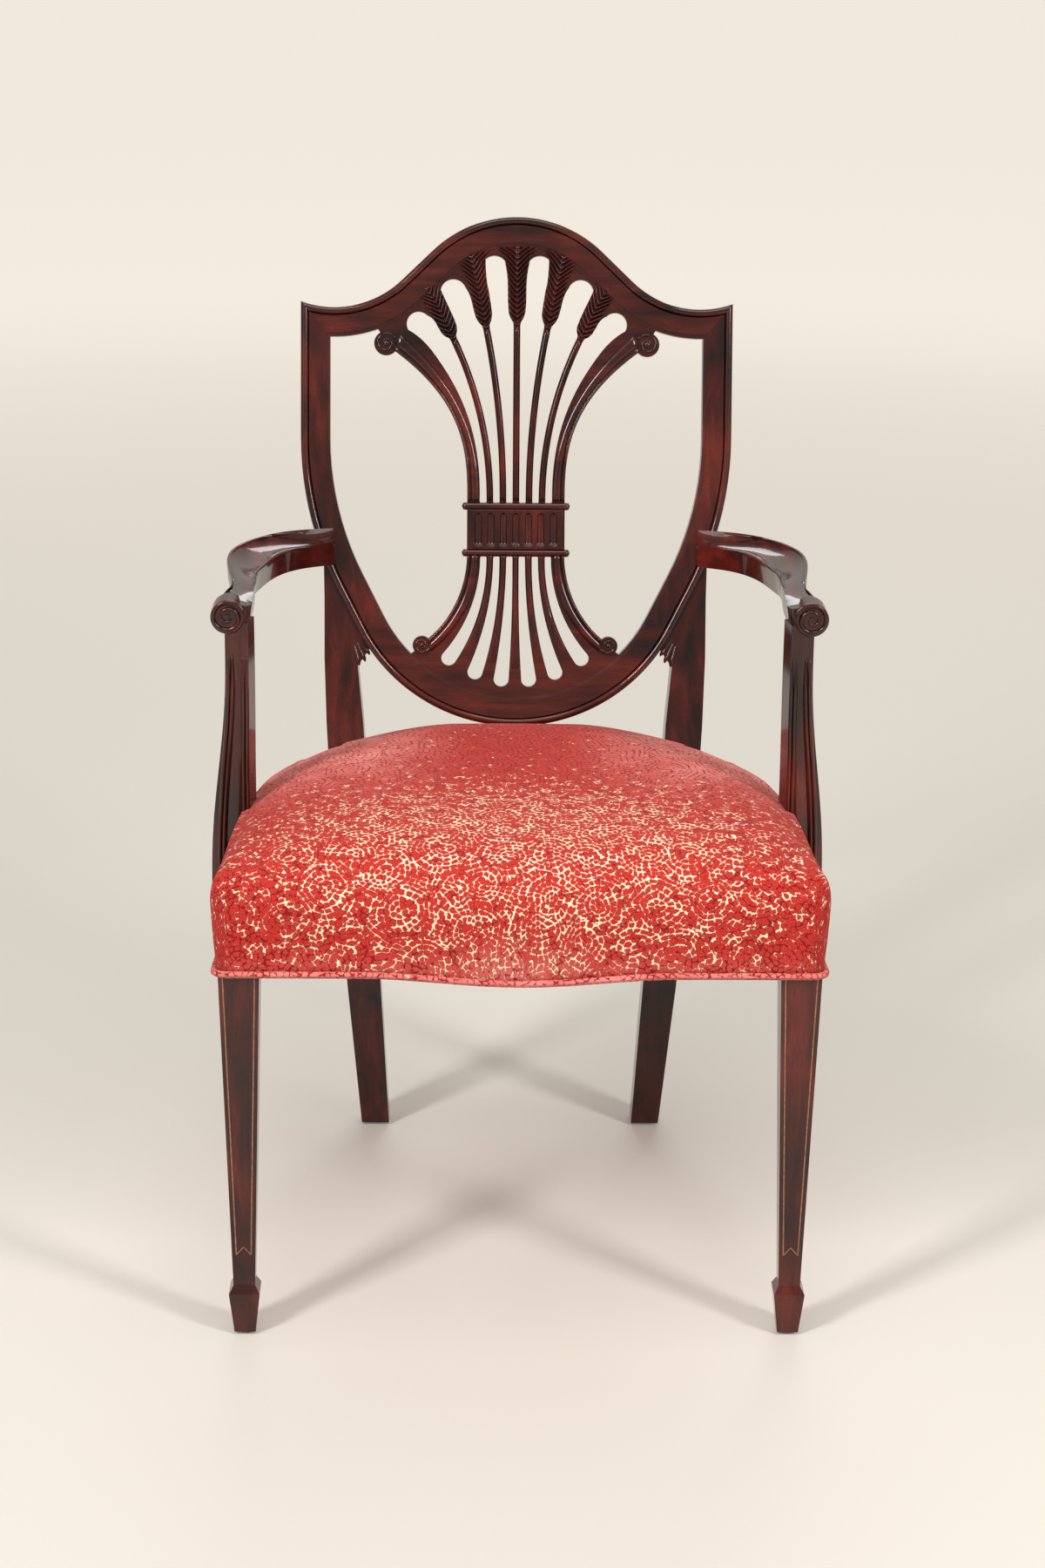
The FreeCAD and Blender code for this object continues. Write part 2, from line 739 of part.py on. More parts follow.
def stem_edge(stem, side, ear_length):
    # one edge of a stem and of the wheat ear on top of it
    narrow, wide = mm("neck_half_width"), mm("ear_half_width")
    edge = [(u + side * narrow * math.cos(a), v - side * narrow * math.sin(a)) for u, v, a in stem]
    u, v, heading = stem[-1]
    for share, width in ear_profile:
        along = share * ear_length
        reach = max(width * wide, narrow)
        edge.append((u + along * math.sin(heading) + side * reach * math.cos(heading),
                     v + along * math.cos(heading) - side * reach * math.sin(heading)))
    return edge


stem_start_v = block_high + bead + 2
centre_stem = bent_stem(0, stem_start_v, 0, mm("centre_neck"))
inner_stem = bent_stem(mm("stem_spacing"), stem_start_v, mm("inner_neck_x"), mm("inner_neck"))
outer_stem = bent_stem(2 * mm("stem_spacing"), stem_start_v, mm("outer_neck_x"), mm("outer_neck"))
scroll_drop = mm("top_scroll_radius") + mm("top_scroll_gap")
scroll_top = (mm("top_scroll_x"), crest_inner_v(mm("top_scroll_x")) - scroll_drop)
scroll_low = (mm("low_scroll_x"), mm("low_scroll_y"))


def power_curve(start, end, power, count=9):
    points = []
    for i in range(count + 1):
        t = (i / count) ** 0.6
        points.append((start[0] + (end[0] - start[0]) * t ** power, start[1] + (end[1] - start[1]) * t))
    return points


band_inner_start = (block_u - mm("band_width"), stem_start_v)
band_inner_end = (scroll_top[0] - 21.2, scroll_top[1] + 21.5)
band_inner = power_curve(band_inner_start, band_inner_end, 2.4)
band_outer_end = (scroll_top[0] - 10.5, scroll_top[1] - 7.4)
band_outer = power_curve((block_u, stem_start_v), band_outer_end, 2.8)


def head_points(u, left, right, lift):
    top = crest_inner_v(u) - mm("top_web") * lift
    return (u + left[0], top + left[1]), (u, top), (u + right[0], top + right[1])


def upper_piercing(left_edge, right_edge, head):
    left, top, right = head
    left_edge = [p for p in left_edge if p[1] < left[1] - 6] + [left]
    right_edge = [p for p in right_edge if p[1] < right[1] - 6] + [right]
    first, last = left_edge[0], right_edge[0]
    middle = ((first[0] + last[0]) / 2, min(first[1], last[1]) - abs(last[0] - first[0]) / 2)
    return raised([
        curve_through(left_edge),
        arc_through(left, top, right),
        curve_through(right_edge[::-1]),
        arc_through(last, middle, first),
    ])


def lower_piercing(start_u, end_u, end_v):
    radius = mm("slot_radius") * 0.94
    wide = mm("low_slot_radius")
    start_v = block_low - bead - 2
    axis = bent_stem(start_u, start_v, end_u, end_v)
    heading = axis[-1][2]
    edges = []
    for side in (-1, 1):
        points = []
        for i, (u, v, a) in enumerate(axis):
            reach = radius + (wide - radius) * (i / (len(axis) - 1)) ** 1.6
            points.append((u + side * reach * math.cos(a), v - side * reach * math.sin(a)))
        edges.append(points)
    left, right = edges
    down = -1
    end = (end_u + down * wide * math.sin(heading), end_v + down * wide * math.cos(heading))
    return raised([
        curve_through(left),
        arc_through(left[-1], end, right[-1]),
        curve_through(right[::-1]),
        arc_through(right[0], (start_u, start_v + radius), left[0]),
    ])


def splat_outline(side):
    # the right half of the splat, run past the frame's inner edge; it is trimmed to its housing
    away = Vector(hollow_centre[0] - scroll_top[0], hollow_centre[1] - scroll_top[1], 0).normalize()
    top_link = (scroll_top[0] + 6 + 40 * away.x, scroll_top[1] - 2 + 40 * away.y)
    out = Vector(scroll_low[0], scroll_low[1] - foot_radius, 0).normalize()
    low_link = (scroll_low[0] + 5 + 40 * out.x, scroll_low[1] + 2 + 40 * out.y)
    low_start = (block_u, block_low - bead)
    span = (scroll_low[0] - 6.6 - low_start[0], low_start[1] - scroll_low[1] - 6.8)
    radius = (span[0] ** 2 + span[1] ** 2) / (2 * span[0])
    centre = (low_start[0] + radius, low_start[1])
    total = math.asin(min(span[1] / radius, 1.0))
    mid = (centre[0] - radius * math.cos(total / 2), centre[1] - radius * math.sin(total / 2))
    end = (low_start[0] + span[0], low_start[1] - span[1])

    def line(a, b):
        return Part.makeLine(Vector(a[0], a[1], 0), Vector(b[0], b[1], 0))

    high = (0, peak_v)
    low = (0, 0)
    edges = [
        line(low, low_link),
        line(low_link, scroll_low),
        line(scroll_low, end),
        arc_through(end, mid, low_start),
        line(low_start, band_outer[0]),
        curve_through(band_outer),
        line(band_outer[-1], scroll_top),
        line(scroll_top, top_link),
        line(top_link, (top_link[0], peak_v)),
        line((top_link[0], peak_v), high),
        line(high, low),
    ]
    return on_side(raised(edges), side)


def housing():
    # the shield's inside, grown by the tongue
    grown = band - tongue
    wide = half_width - grown
    crown = crown_radius - grown
    hollow = hollow_radius + grown
    crown_u = crown * math.sin(slope)
    start_u = hollow_u - hollow * math.sin(slope)
    middle_u = (start_u + wide) / 2
    foot = foot_radius - grown
    foot_u = foot * math.sin(foot_angle)
    foot_v = foot_radius - foot * math.cos(foot_angle)

    def on_crest(u):
        return u, crest_inner_v(u, grown)

    def line(a, b):
        return Part.makeLine(Vector(a[0], a[1], 0), Vector(b[0], b[1], 0))

    half = [
        line(on_crest(crown_u), on_crest(start_u)),
        arc_through(on_crest(start_u), on_crest(middle_u), on_crest(wide)),
        line(on_crest(wide), (foot_u, foot_v)),
    ]
    edges = [arc_through(on_crest(-crown_u), (0, peak_v - grown), on_crest(crown_u))]
    edges += half + [mirrored(edge) for edge in half]
    edges.append(arc_through((foot_u, foot_v), (0, grown), (-foot_u, foot_v)))
    face = Part.Face(Part.Wire(Part.__sortEdges__(edges)))
    solid = face.extrude(Vector(0, 0, splat_front - splat_back))
    solid.translate(Vector(0, 0, splat_back))
    return solid


def splat_shape():
    plate = splat_outline(1).fuse(splat_outline(-1)).removeSplitter().common(housing())
    depth = splat_front - splat_back
    discs = []
    for side in (-1, 1):
        for (u, v), name in ((scroll_top, "top_scroll_radius"), (scroll_low, "low_scroll_radius")):
            disc = Part.makeCylinder(mm(name), depth + mm("scroll_proud"), Vector(side * u, v, splat_back))
            discs.append(disc)
    spacing = mm("stem_spacing")
    ears = [mm("centre_ear"), mm("inner_ear"), mm("outer_ear")]
    stems = [centre_stem, inner_stem, outer_stem]
    heads = [
        head_points(mm("inner_head_x"), (-13.0, -16.0), (12.7, -19.0), 1.0),
        head_points(mm("middle_head_x"), (-13.4, -8.2), (12.1, -13.4), 1.0),
        head_points(mm("outer_head_x"), (-7.5, -3.5), (11.5, -18.5), 1.25),
    ]
    piercings = []
    for i, stem in enumerate(stems):
        left = stem_edge(stem, 1, ears[i])
        right = stem_edge(stems[i + 1], -1, ears[i + 1]) if i < 2 else band_inner
        piercings.append(upper_piercing(left, right, heads[i]))
    for i, name in enumerate(("inner", "middle", "outer")):
        start_u = (i + 0.48) * spacing
        piercings.append(lower_piercing(start_u, mm(name + "_slot_x"), mm(name + "_slot_y")))
    piercings += [mirrored(item) for item in piercings]
    plate = plate.fuse(discs).cut(piercings)
    proud = splat_front + mm("binding_proud")
    block = box(-block_u, block_low, splat_back, block_u, block_high, proud)
    adds = [block]
    bead_u = block_u + mm("bead_overhang")
    for low in (block_low - bead, block_high):
        radius = bead / 2
        rod = Part.makeCylinder(radius, 2 * bead_u, Vector(-bead_u, low + radius, splat_front), Vector(1, 0, 0))
        core = box(-bead_u, low, splat_back, bead_u, low + bead, splat_front)
        adds += [rod, core]
    flute = mm("flute_radius")
    flutes = []
    for i in range(-3, 4):
        u = i * mm("flute_spacing")
        foot = Vector(u, block_low + flute, proud + 0.3 * flute)
        flutes.append(Part.makeCylinder(flute, 2 * (block_half - flute), foot, Vector(0, 1, 0)))
    return plate.fuse(adds).removeSplitter().cut(flutes)


# Rear posts: leg, post and side of the shield in one

def post_sections():
    calf_z = 0.478 * rail_bottom.value
    foot = mm("rear_foot_width")
    wide = mm("post_width")
    calf = foot + 0.7 * (wide - foot)
    calf_y = mm("rear_foot_y") + 0.587 * (mm("post_y") - mm("rear_foot_y"))
    merge_v = mm("post_merge")
    outer = shield_outer_u(merge_v) - 0.7
    cos_rake = math.cos(math.radians(rake))
    waist_z = rail_top.value + mm("post_waist_rise")
    merge_z = shield_foot_z + (merge_v + 11) * cos_rake
    upper_z = (waist_z + merge_z) / 2 + 4
    waist = mm("post_waist")
    recess = mm("post_recess")
    inner = shield_outer_u(merge_v + 11) - 0.65 * band

    def centred(z, width, front, depth):
        x = post_centre_x(z).value
        return (x - width / 2, x + width / 2, front, front + depth, z)

    def hung(z, left, right, depth):
        front = shield_face_y(z) + recess
        return (left, right, front, front + depth, z)

    foot_outer = (post_outer_x.value + outer) / 2
    return [
        centred(glide_height.value, foot, mm("rear_foot_y"), foot),
        centred(calf_z, calf, calf_y, foot + 0.41 * (wide - foot)),
        centred(rail_bottom.value, wide, mm("post_y"), wide),
        centred(rail_top.value, wide, mm("post_y"), wide),
        hung(shield_foot_z, foot_outer - wide, foot_outer, 30),
        hung(waist_z, outer - waist, outer, 27),
        hung(upper_z, outer - 0.78 * waist, outer, 22),
        hung(merge_z, inner, outer + 1, thickness - 7),
    ]


def rear_post_shape(rail):
    sections = post_sections()
    wires = []
    for x0, x1, y0, y1, z in sections:
        corners = [Vector(x, y, z) for x, y in ((x0, y0), (x1, y0), (x1, y1), (x0, y1), (x0, y0))]
        wires.append(Part.makePolygon(corners))
    leg = Part.makeLoft(wires, True, True)
    inner_x = sections[5][0]
    outer_x = sections[5][1]
    low_v = shield_v(sections[5][4]) - 9
    tip = 0.89 * foot_angle
    bracket = [
        (outer_x - 6, low_v),
        (inner_x - 0.5, low_v),
        ((foot_radius - 4) * math.sin(tip), foot_radius - (foot_radius - 4) * math.cos(tip)),
        (foot_end[0] - 6, foot_end[1] + 3),
        (flank_end[0] - 6, flank_end[1] + 3),
        (outer_x - 6, flank_end[1] - 10),
    ]
    leaf = placed(flat_prism(bracket, -mm("post_recess") - 15, -mm("post_recess")))
    return joined([leg, leaf, placed(stile_shape())]).cut(rail)


# Arms: a shaped rail that bends forwards from the post to a scrolled hand grip

arm_stations = [
    # outer edge sideways and forwards, heading to the inner edge, width, drops of outer top,
    # inner top and underside, hollow of the top
    (0.0, 0.0, (0.0, -1.0), 32.0, 0.0, 6.0, 32.0, 4.0),
    (24.0, 3.0, (0.03, -1.0), 34.0, 0.0, 11.0, 34.0, 5.0),
    (60.0, 21.0, (-0.37, -0.93), 37.7, 0.0, 11.0, 35.0, 5.0),
    (86.0, 55.0, (-0.68, -0.74), 42.1, 0.0, 11.0, 35.0, 5.0),
    (101.0, 99.0, (-0.89, -0.46), 42.3, 0.0, 11.0, 34.0, 4.0),
    (101.3, 132.0, (-0.92, -0.39), 36.3, 0.0, 9.0, 32.0, 3.0),
    (97.0, 174.0, (-0.99, -0.14), 28.7, 0.5, 6.0, 29.0, 1.0),
    (90.6, 226.0, (-1.0, 0.0), 24.1, 0.5, 1.0, 27.0, 0.3),
    (92.0, 269.0, (-1.0, 0.1), 25.0, 1.5, 3.5, 29.0, 0.3),
    (95.0, 297.0, (-1.0, 0.0), 24.1, 2.5, 5.0, 25.0, 0.3),
]
arm_back_v = shield_v(mm("arm_top") - 15)
arm_in_x = shield_outer_u(arm_back_v) - 0.57 * band
arm_back_y = shield_face_y(mm("arm_top") - 15) + 4
arm_front_y = arm_back_y - mm("arm_length")
arm_reach = (mm("arm_out_x") - arm_in_x) / 101.3
scroll_x = mm("arm_out_x") - mm("scroll_inset")
scroll_z = mm("arm_top") - mm("scroll_radius")


def arm_section(station):
    across, forwards, heading, width, drop_out, drop_in, under, dish = station
    width *= mm("arm_width") / 42.0 if forwards < 150 else mm("wrist_width") / 24.1
    deep = mm("arm_thickness") / 35.0
    outer = Vector(arm_in_x + across * arm_reach, arm_back_y - forwards * mm("arm_length") / 299.0, 0)
    turn = Vector(heading[0], heading[1], 0).normalize()
    top = mm("arm_top")
    out_z, in_z, low_z = top - drop_out * deep, top - drop_in * deep, top - under * deep

    def place(share, z):
        return outer + turn * (share * width) + Vector(0, 0, z)

    a, b = place(0.06, out_z), place(0.97, in_z)
    c, d = place(0.85, low_z), place(0.18, low_z)
    side_out = place(0.0, 0.6 * out_z + 0.4 * low_z)
    return Part.Wire([
        Part.Arc(a, place(0.5, (out_z + in_z) / 2 - dish), b).toShape(),
        Part.makeLine(b, c),
        Part.makeLine(c, d),
        Part.Arc(d, side_out, a).toShape(),
    ])


def scroll_shape():
    radius, length = mm("scroll_radius"), mm("scroll_length")
    profile = [
        (0, 0), (3.0, 0), (3.0, 1.6), (radius - 4.6, 1.6), (radius - 3.6, 0), (radius - 1.2, 0),
        (radius, 1.2), (radius, length), (radius / 2, length + 40), (0, length + 40),
    ]
    corners = [Vector(scroll_x + r, arm_front_y + y, scroll_z) for r, y in profile]
    face = Part.Face(Part.makePolygon(corners + corners[:1]))
    return face.revolve(Vector(scroll_x, arm_front_y, scroll_z), Vector(0, 1, 0), 360)


def arm_shape():
    arm = Part.makeLoft([arm_section(station) for station in arm_stations], True, False)
    return arm.fuse(scroll_shape())


# Arm supports: swept outwards, standing on the outside of the side rails

support_stations = [
    (0.0, 1.0, 1.5), (0.085, 0.97, 1.0), (0.356, 0.65, -1.5), (0.567, 0.27, -0.5), (0.844, 0.02, 0.8), (1.0, 0.0, 0.0),
]
support_y = arm_front_y
support_depth = mm("support_depth")
support_root = Vector(side_line_x(support_y).value - 0.6, support_y, 0)
support_heel = Vector(side_line_x(support_y + support_depth).value - 0.6, support_y + support_depth, 0)
support_back = (support_heel - support_root).normalize()
support_out = Vector(support_back.y, -support_back.x, 0)
support_low = rail_bottom.value + mm("support_foot")


def support_shape():
    wires = []
    high = scroll_z - 0.35 * mm("scroll_radius")
    for share, spread, sway in support_stations:
        width = mm("support_top_width") + (mm("support_base_width") - mm("support_top_width")) * spread
        z = support_low + (high - support_low) * share

        def place(x, y):
            return support_root + support_out * x + support_back * (y + sway) + Vector(0, 0, z)

        right, back = width, support_depth
        wires.append(Part.Wire([
            Part.Arc(place(0, 3.0), place(width / 2, -0.5), place(right, 3.0)).toShape(),
            Part.makeLine(place(right, 3.0), place(right, back)),
            Part.makeLine(place(right, back), place(0, back)),
            Part.makeLine(place(0, back), place(0, 3.0)),
        ]))
    return Part.makeLoft(wires, True, False)


def largest(shape):
    return max(shape.Solids, key=lambda solid: solid.Volume)


# Upholstery: cover over pad and rails, as lofts of the seat's outline

def seat_form(extra, drop, kept):
    # extra is how far the form lies inside the cover, drop how far its top lies below; kept are
    # the stations that it is lofted through
    bulge = mm("cushion_bulge")
    edge, crown = mm("cushion_edge"), mm("crown_height")
    top = rail_top.value
    half = post_outer_x.value
    stations = [
        (rail_bottom.value - mm("cover_drop"), 0.0),
        (rail_bottom.value + 0.45 * mm("rail_height"), -0.5 * bulge),
        (top + 0.12 * edge, -bulge),
        (top + 0.41 * edge, -0.92 * bulge),
        (top + 0.76 * edge, -0.33 * bulge),
        (top + edge, 0.042 * half),
        (top + edge + 0.33 * crown, 0.156 * half),
        (top + edge + 0.67 * crown, 0.365 * half),
        (top + edge + crown, 0.75 * half),
    ]
    back = rear_rail_back_y.value + mm("cover_thickness") - extra
    wires = []
    for i in kept:
        z, inset = stations[i]
        inset += extra - mm("cover_thickness")
        corner = mm("seat_corner_radius") + 0.4 * abs(inset)
        wires.append(outline_wire(inset, z - drop, corner, back))
    return Part.makeLoft(wires, True, True)


def welt_shape():
    radius = mm("welt_radius")
    inset = -mm("cover_thickness") - radius + 1.2
    z = rail_bottom.value - mm("cover_drop") + radius
    edges = seat_outline(inset, z, mm("seat_corner_radius") - inset, rear_rail_back_y.value)
    right = edges[1:5]
    left = edges[7:]
    path = Part.Wire(Part.__sortEdges__([edges[0]] + right + left))
    first = path.OrderedVertexes[0].Point
    heading = path.OrderedEdges[0].tangentAt(path.OrderedEdges[0].FirstParameter)
    aside = heading.cross(Vector(0, 0, 1)).normalize()
    corners = []
    for i in range(9):
        turn = math.radians(45 * i + 22.5)
        corners.append(first + aside * radius * math.cos(turn) + Vector(0, 0, radius * math.sin(turn)))
    return path.makePipeShell([Part.makePolygon(corners)], True, False, 1)


# Document objects with sizes bound to the sheet

legs = {name: front_leg("front_leg_" + name, side) for name, side in sides}
rear_rail_blank = rear_rail("rear_rail")
block_bodies = {}
for name, side in sides:
    block_bodies["front_" + name] = corner_block("corner_block_front_" + name, side, True)
    block_bodies["rear_" + name] = corner_block("corner_block_rear_" + name, side, False)
dowels = rail_dowels()


def glide(name, x, y):
    item = doc.addObject("Part::Cone", "Glide_" + name)
    bind(item, "Radius1", size("glide_radius") - 1.5)
    bind(item, "Radius2", size("glide_radius"))
    bind(item, "Height", glide_height)
    bind(item, "Placement.Base.x", x)
    bind(item, "Placement.Base.y", y)
    return item


glides = []
for name, side in sides:
    glides.append(glide("front_" + name, side * leg_x, leg_y))
    foot_y = size("rear_foot_y") + size("rear_foot_width") / 2
    glides.append(glide("rear_" + name, side * post_centre_x(glide_height), foot_y))
glide_group = group("glides", glides)


def strap(name, x0, y0, x1, y1, level):
    item = doc.addObject("Part::Box", "Strap_" + name)
    bind(item, "Length", x1 - x0)
    bind(item, "Width", y1 - y0)
    bind(item, "Height", size("strap_thickness"))
    bind(item, "Placement.Base.x", x0)
    bind(item, "Placement.Base.y", y0)
    bind(item, "Placement.Base.z", rail_top + level * size("strap_thickness"))
    return item


straps = []
half_strap = size("strap_width") / 2
strap_back = rear_rail_back_y - 6
for i, share in enumerate((-1, 0, 1)):
    x = share * post_outer_x * 0.45
    straps.append(strap("long_%d" % i, x - half_strap, rail_front_y + 6, x + half_strap, strap_back, 0))
for i, share in enumerate((0.17, 0.44, 0.71)):
    y = rail_front_y + (rear_rail_back_y - rail_front_y) * share
    reach = side_line_x(y) - 9
    straps.append(strap("cross_%d" % i, -1 * reach, y - half_strap, reach, y + half_strap, 1))
webbing = doc.addObject("Part::MultiFuse", "webbing")
webbing.Label = "webbing"
webbing.Shapes = straps
doc.recompute()


# Screws and shield dowels

def block_screw(name):
    at_front = name.startswith("front")
    plan = [(x.value, y.value) for x, y in corner_block_plan(at_front)]
    start, end = Vector(*plan[0], 0), Vector(*plan[-1], 0)
    along = (end - start).normalize()
    into = Vector(along.y, -along.x, 0) if at_front else Vector(-along.y, along.x, 0)
    z = rail_top.value - mm("block_drop") - mm("block_height") / 2
    head = (start + end) * 0.5 + Vector(0, 0, z)
    if into.x < 0:
        into = into * -1
    side = 1 if name.endswith("right") else -1
    return on_side(screw_shape(head, into, mm("screw_length") + 12), side)


block_screws = Part.makeCompound([block_screw(name) for name in block_bodies])
arm_screws = []
support_screws = []
shield_dowels = []
arm_screw_u = shield_outer_u(arm_back_v) - 0.5 * band
for name, side in sides:
    head = Vector(side * arm_screw_u, shield_v(mm("arm_top") - 0.48 * mm("arm_thickness")), -thickness)
    arm_screws.append(placed(screw_shape(head, Vector(0, 0, 1), mm("screw_length"))))
    y = support_y + support_depth / 2
    for level in (-1, 1):
        z = rail_middle.value + level * mm("dowel_spacing") / 4
        head = Vector(side * side_inner_x(y).value, y, z)
        axis = Vector(side * support_out.x, support_out.y, 0)
        support_screws.append(screw_shape(head, axis, mm("screw_length") + 10))
    half = mm("dowel_length") / 4
    radius = mm("dowel_radius") * 0.8
    middle = foot_radius - band / 2
    centre = Vector(side * middle * math.sin(foot_angle), foot_radius - middle * math.cos(foot_angle), -thickness / 2)
    axis = Vector(side * math.cos(foot_angle), math.sin(foot_angle), 0)
    shield_dowels.append(placed(Part.makeCylinder(radius, 2 * half, centre - axis * half, axis)))
    centre = Vector(side * (half_width - band / 2), (ear_v + inner_ear_v) / 2, -thickness / 2)
    axis = Vector(side * (ear_v - inner_ear_v), -band, 0).normalize()
    shield_dowels.append(placed(Part.makeCylinder(radius, 2 * half, centre - axis * half, axis)))
arm_screws = Part.makeCompound(arm_screws)
support_screws = Part.makeCompound(support_screws)
shield_dowels = Part.makeCompound(shield_dowels)

# Wooden pieces

rail = placed(shield_rail_shape())
crest = placed(crest_shape())
splat = placed(splat_shape())
posts = {side: on_side(rear_post_shape(rail), side) for name, side in sides}
block = seat_block()
side_rails = {side: side_rail_shape(block, side) for name, side in sides}
arms = {}
supports = {}
for name, side in sides:
    arm = on_side(arm_shape(), side).cut(posts[side])
    arms[side] = largest(arm)
    support = on_side(support_shape(), side).cut([side_rails[side], arms[side]])
    supports[side] = largest(support)

nodes = {}
nodes["shield_rail"] = shape_part("shield_rail", rail.cut([splat, shield_dowels]))
nodes["crest_rail"] = shape_part("crest_rail", crest.cut([splat, shield_dowels]))
nodes["splat"] = shape_part("splat", splat)
nodes["front_rail"] = shape_part("front_rail", front_rail_shape(block).cut(dowels.Shape))
for name, side in sides:
    post_tools = [dowels.Shape, shield_dowels, arm_screws, block_screws]
    nodes["rear_post_" + name] = shape_part("rear_post_" + name, posts[side].cut(post_tools))
    rail_tools = [dowels.Shape, support_screws]
    nodes["side_rail_" + name] = shape_part("side_rail_" + name, side_rails[side].cut(rail_tools))
    nodes["arm_" + name] = shape_part("arm_" + name, arms[side].cut(arm_screws))
    support_node = shape_part("arm_support_" + name, supports[side].cut(support_screws))
    nodes["arm_support_" + name] = support_node
nodes["block_screws"] = shape_part("block_screws", block_screws)
nodes["arm_screws"] = shape_part("arm_screws", arm_screws)
nodes["support_screws"] = shape_part("support_screws", support_screws)
nodes["shield_dowels"] = shape_part("shield_dowels", shield_dowels)
nodes["rail_dowels"] = dowels
nodes["glides"] = glide_group
nodes["webbing"] = webbing
fastenings = group("Fastenings", [dowels, nodes["block_screws"]])
nodes["rear_rail"] = cut("rear_rail", rear_rail_blank, dowels)
for name, side in sides:
    nodes["front_leg_" + name] = cut("front_leg_" + name, legs[name], fastenings)
    for place in ("front_", "rear_"):
        label = "corner_block_" + place + name
        nodes[label] = cut(label, block_bodies[place + name], nodes["block_screws"])
doc.recompute()

# Upholstery pieces

post_shapes = [posts[side] for name, side in sides]
support_shapes = [supports[side] for name, side in sides]
leg_shapes = [legs[name].Shape for name, side in sides]
lift = rear_rail_back_y.value + 20
outside = []
for name, side in sides:
    inner_x = side * (post_centre_x(rail_bottom).value - 4)
    outer_x = side * (post_outer_x.value + 60)
    low, high = min(inner_x, outer_x), max(inner_x, outer_x)
    outside.append(box(low, post_y.value, rail_bottom.value - 20, high, lift + 60, rail_top.value + 120))
over = box(-400, -400, rail_top.value, 400, 400, rail_top.value + 200)
inner_form = seat_form(mm("cover_thickness") + 0.5, mm("cover_thickness"), (1, 3, 4, 6, 8)).common(over)
outer_form = seat_form(0.0, 0.0, range(9))
welt = welt_shape().cut(post_shapes + support_shapes + outside)
corner = mm("seat_corner_radius")
envelope = prism(outline_wire(0.0, rail_bottom.value - 20, corner, rear_rail_back_y.value),
                 mm("rail_height") + 20)
pad_shape = inner_form.cut(post_shapes + support_shapes + outside + [webbing.Shape])
cover = outer_form.cut([envelope, inner_form]).cut(leg_shapes + post_shapes + support_shapes + outside + [welt])
nodes["seat_pad"] = shape_part("seat_pad", largest(pad_shape))
nodes["seat_cover"] = shape_part("seat_cover", largest(cover))
nodes["seat_welt"] = shape_part("seat_welt", welt)
sheet_low = rail_bottom.value - mm("dust_cover_thickness")
dust_wire = outline_wire(8.0, sheet_low, corner, rear_rail_back_y.value)
dust = prism(dust_wire, mm("dust_cover_thickness"))
nodes["dust_cover"] = shape_part("dust_cover", largest(dust.cut(leg_shapes + post_shapes)))
doc.recompute()

# Checks and export

for item in doc.Objects:
    bad = [word for word in item.State if word in ("Invalid", "Error")]
    if bad:
        raise RuntimeError("%s did not recompute: %s" % (item.Label, bad))
for label, item in nodes.items():
    shape = item.Shape
    if shape.isNull() or not shape.isValid() or not shape.Solids:
        raise RuntimeError("%s has no sound shape" % label)

os.makedirs("parts", exist_ok=True)
for label, item in nodes.items():
    item.Shape.exportStep("parts/%s.step" % label)
    bounds = item.Shape.BoundBox
    print(label, len(item.Shape.Solids), round(item.Shape.Volume / 1000, 2),
          [round(v, 1) for v in (bounds.XMin, bounds.XMax, bounds.YMin, bounds.YMax, bounds.ZMin, bounds.ZMax)])
box_all = Part.makeCompound([item.Shape for item in nodes.values()]).BoundBox
print("bounds", box_all)
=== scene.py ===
import math

import bmesh
import bpy
from mathutils import Matrix, Vector, noise
from mathutils.bvhtree import BVHTree


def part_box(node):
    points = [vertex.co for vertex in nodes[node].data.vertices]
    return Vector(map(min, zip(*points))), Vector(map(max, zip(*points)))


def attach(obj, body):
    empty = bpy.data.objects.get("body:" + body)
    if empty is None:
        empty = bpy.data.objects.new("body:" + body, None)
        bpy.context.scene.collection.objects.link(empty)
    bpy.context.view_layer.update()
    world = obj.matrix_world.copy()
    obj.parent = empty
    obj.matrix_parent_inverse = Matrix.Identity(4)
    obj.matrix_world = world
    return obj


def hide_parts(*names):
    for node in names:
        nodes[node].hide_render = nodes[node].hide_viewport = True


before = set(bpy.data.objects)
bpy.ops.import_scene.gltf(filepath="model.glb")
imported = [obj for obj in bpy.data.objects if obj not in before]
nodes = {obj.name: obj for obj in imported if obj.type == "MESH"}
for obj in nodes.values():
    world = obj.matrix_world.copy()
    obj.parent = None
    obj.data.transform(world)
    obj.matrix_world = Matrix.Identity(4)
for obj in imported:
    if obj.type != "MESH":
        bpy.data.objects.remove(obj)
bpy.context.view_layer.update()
mm = 0.001
sides = (("left", -1), ("right", 1))
print("frame loaded")


# small helpers for colours, shader nodes and mesh pieces

def linearColour(hexText):
    parts = [int(hexText[i:i + 2], 16) / 255 for i in (1, 3, 5)]
    return [c / 12.92 if c <= 0.04045 else ((c + 0.055) / 1.055) ** 2.4 for c in parts] + [1.0]


def fillInputs(tree, node, inputs):
    # a value is a number or colour, a socket to link from, or a node, which stands for its first output
    pairs = inputs.items() if isinstance(inputs, dict) else enumerate(inputs)
    for key, value in pairs:
        if isinstance(value, bpy.types.Node):
            value = value.outputs[0]
        if isinstance(value, bpy.types.NodeSocket):
            tree.links.new(value, node.inputs[key])
        else:
            node.inputs[key].default_value = value


def addNode(tree, kind, inputs=(), **settings):
    node = tree.nodes.new("ShaderNode" + kind)
    for name, value in settings.items():
        setattr(node, name, value)
    fillInputs(tree, node, inputs)
    return node


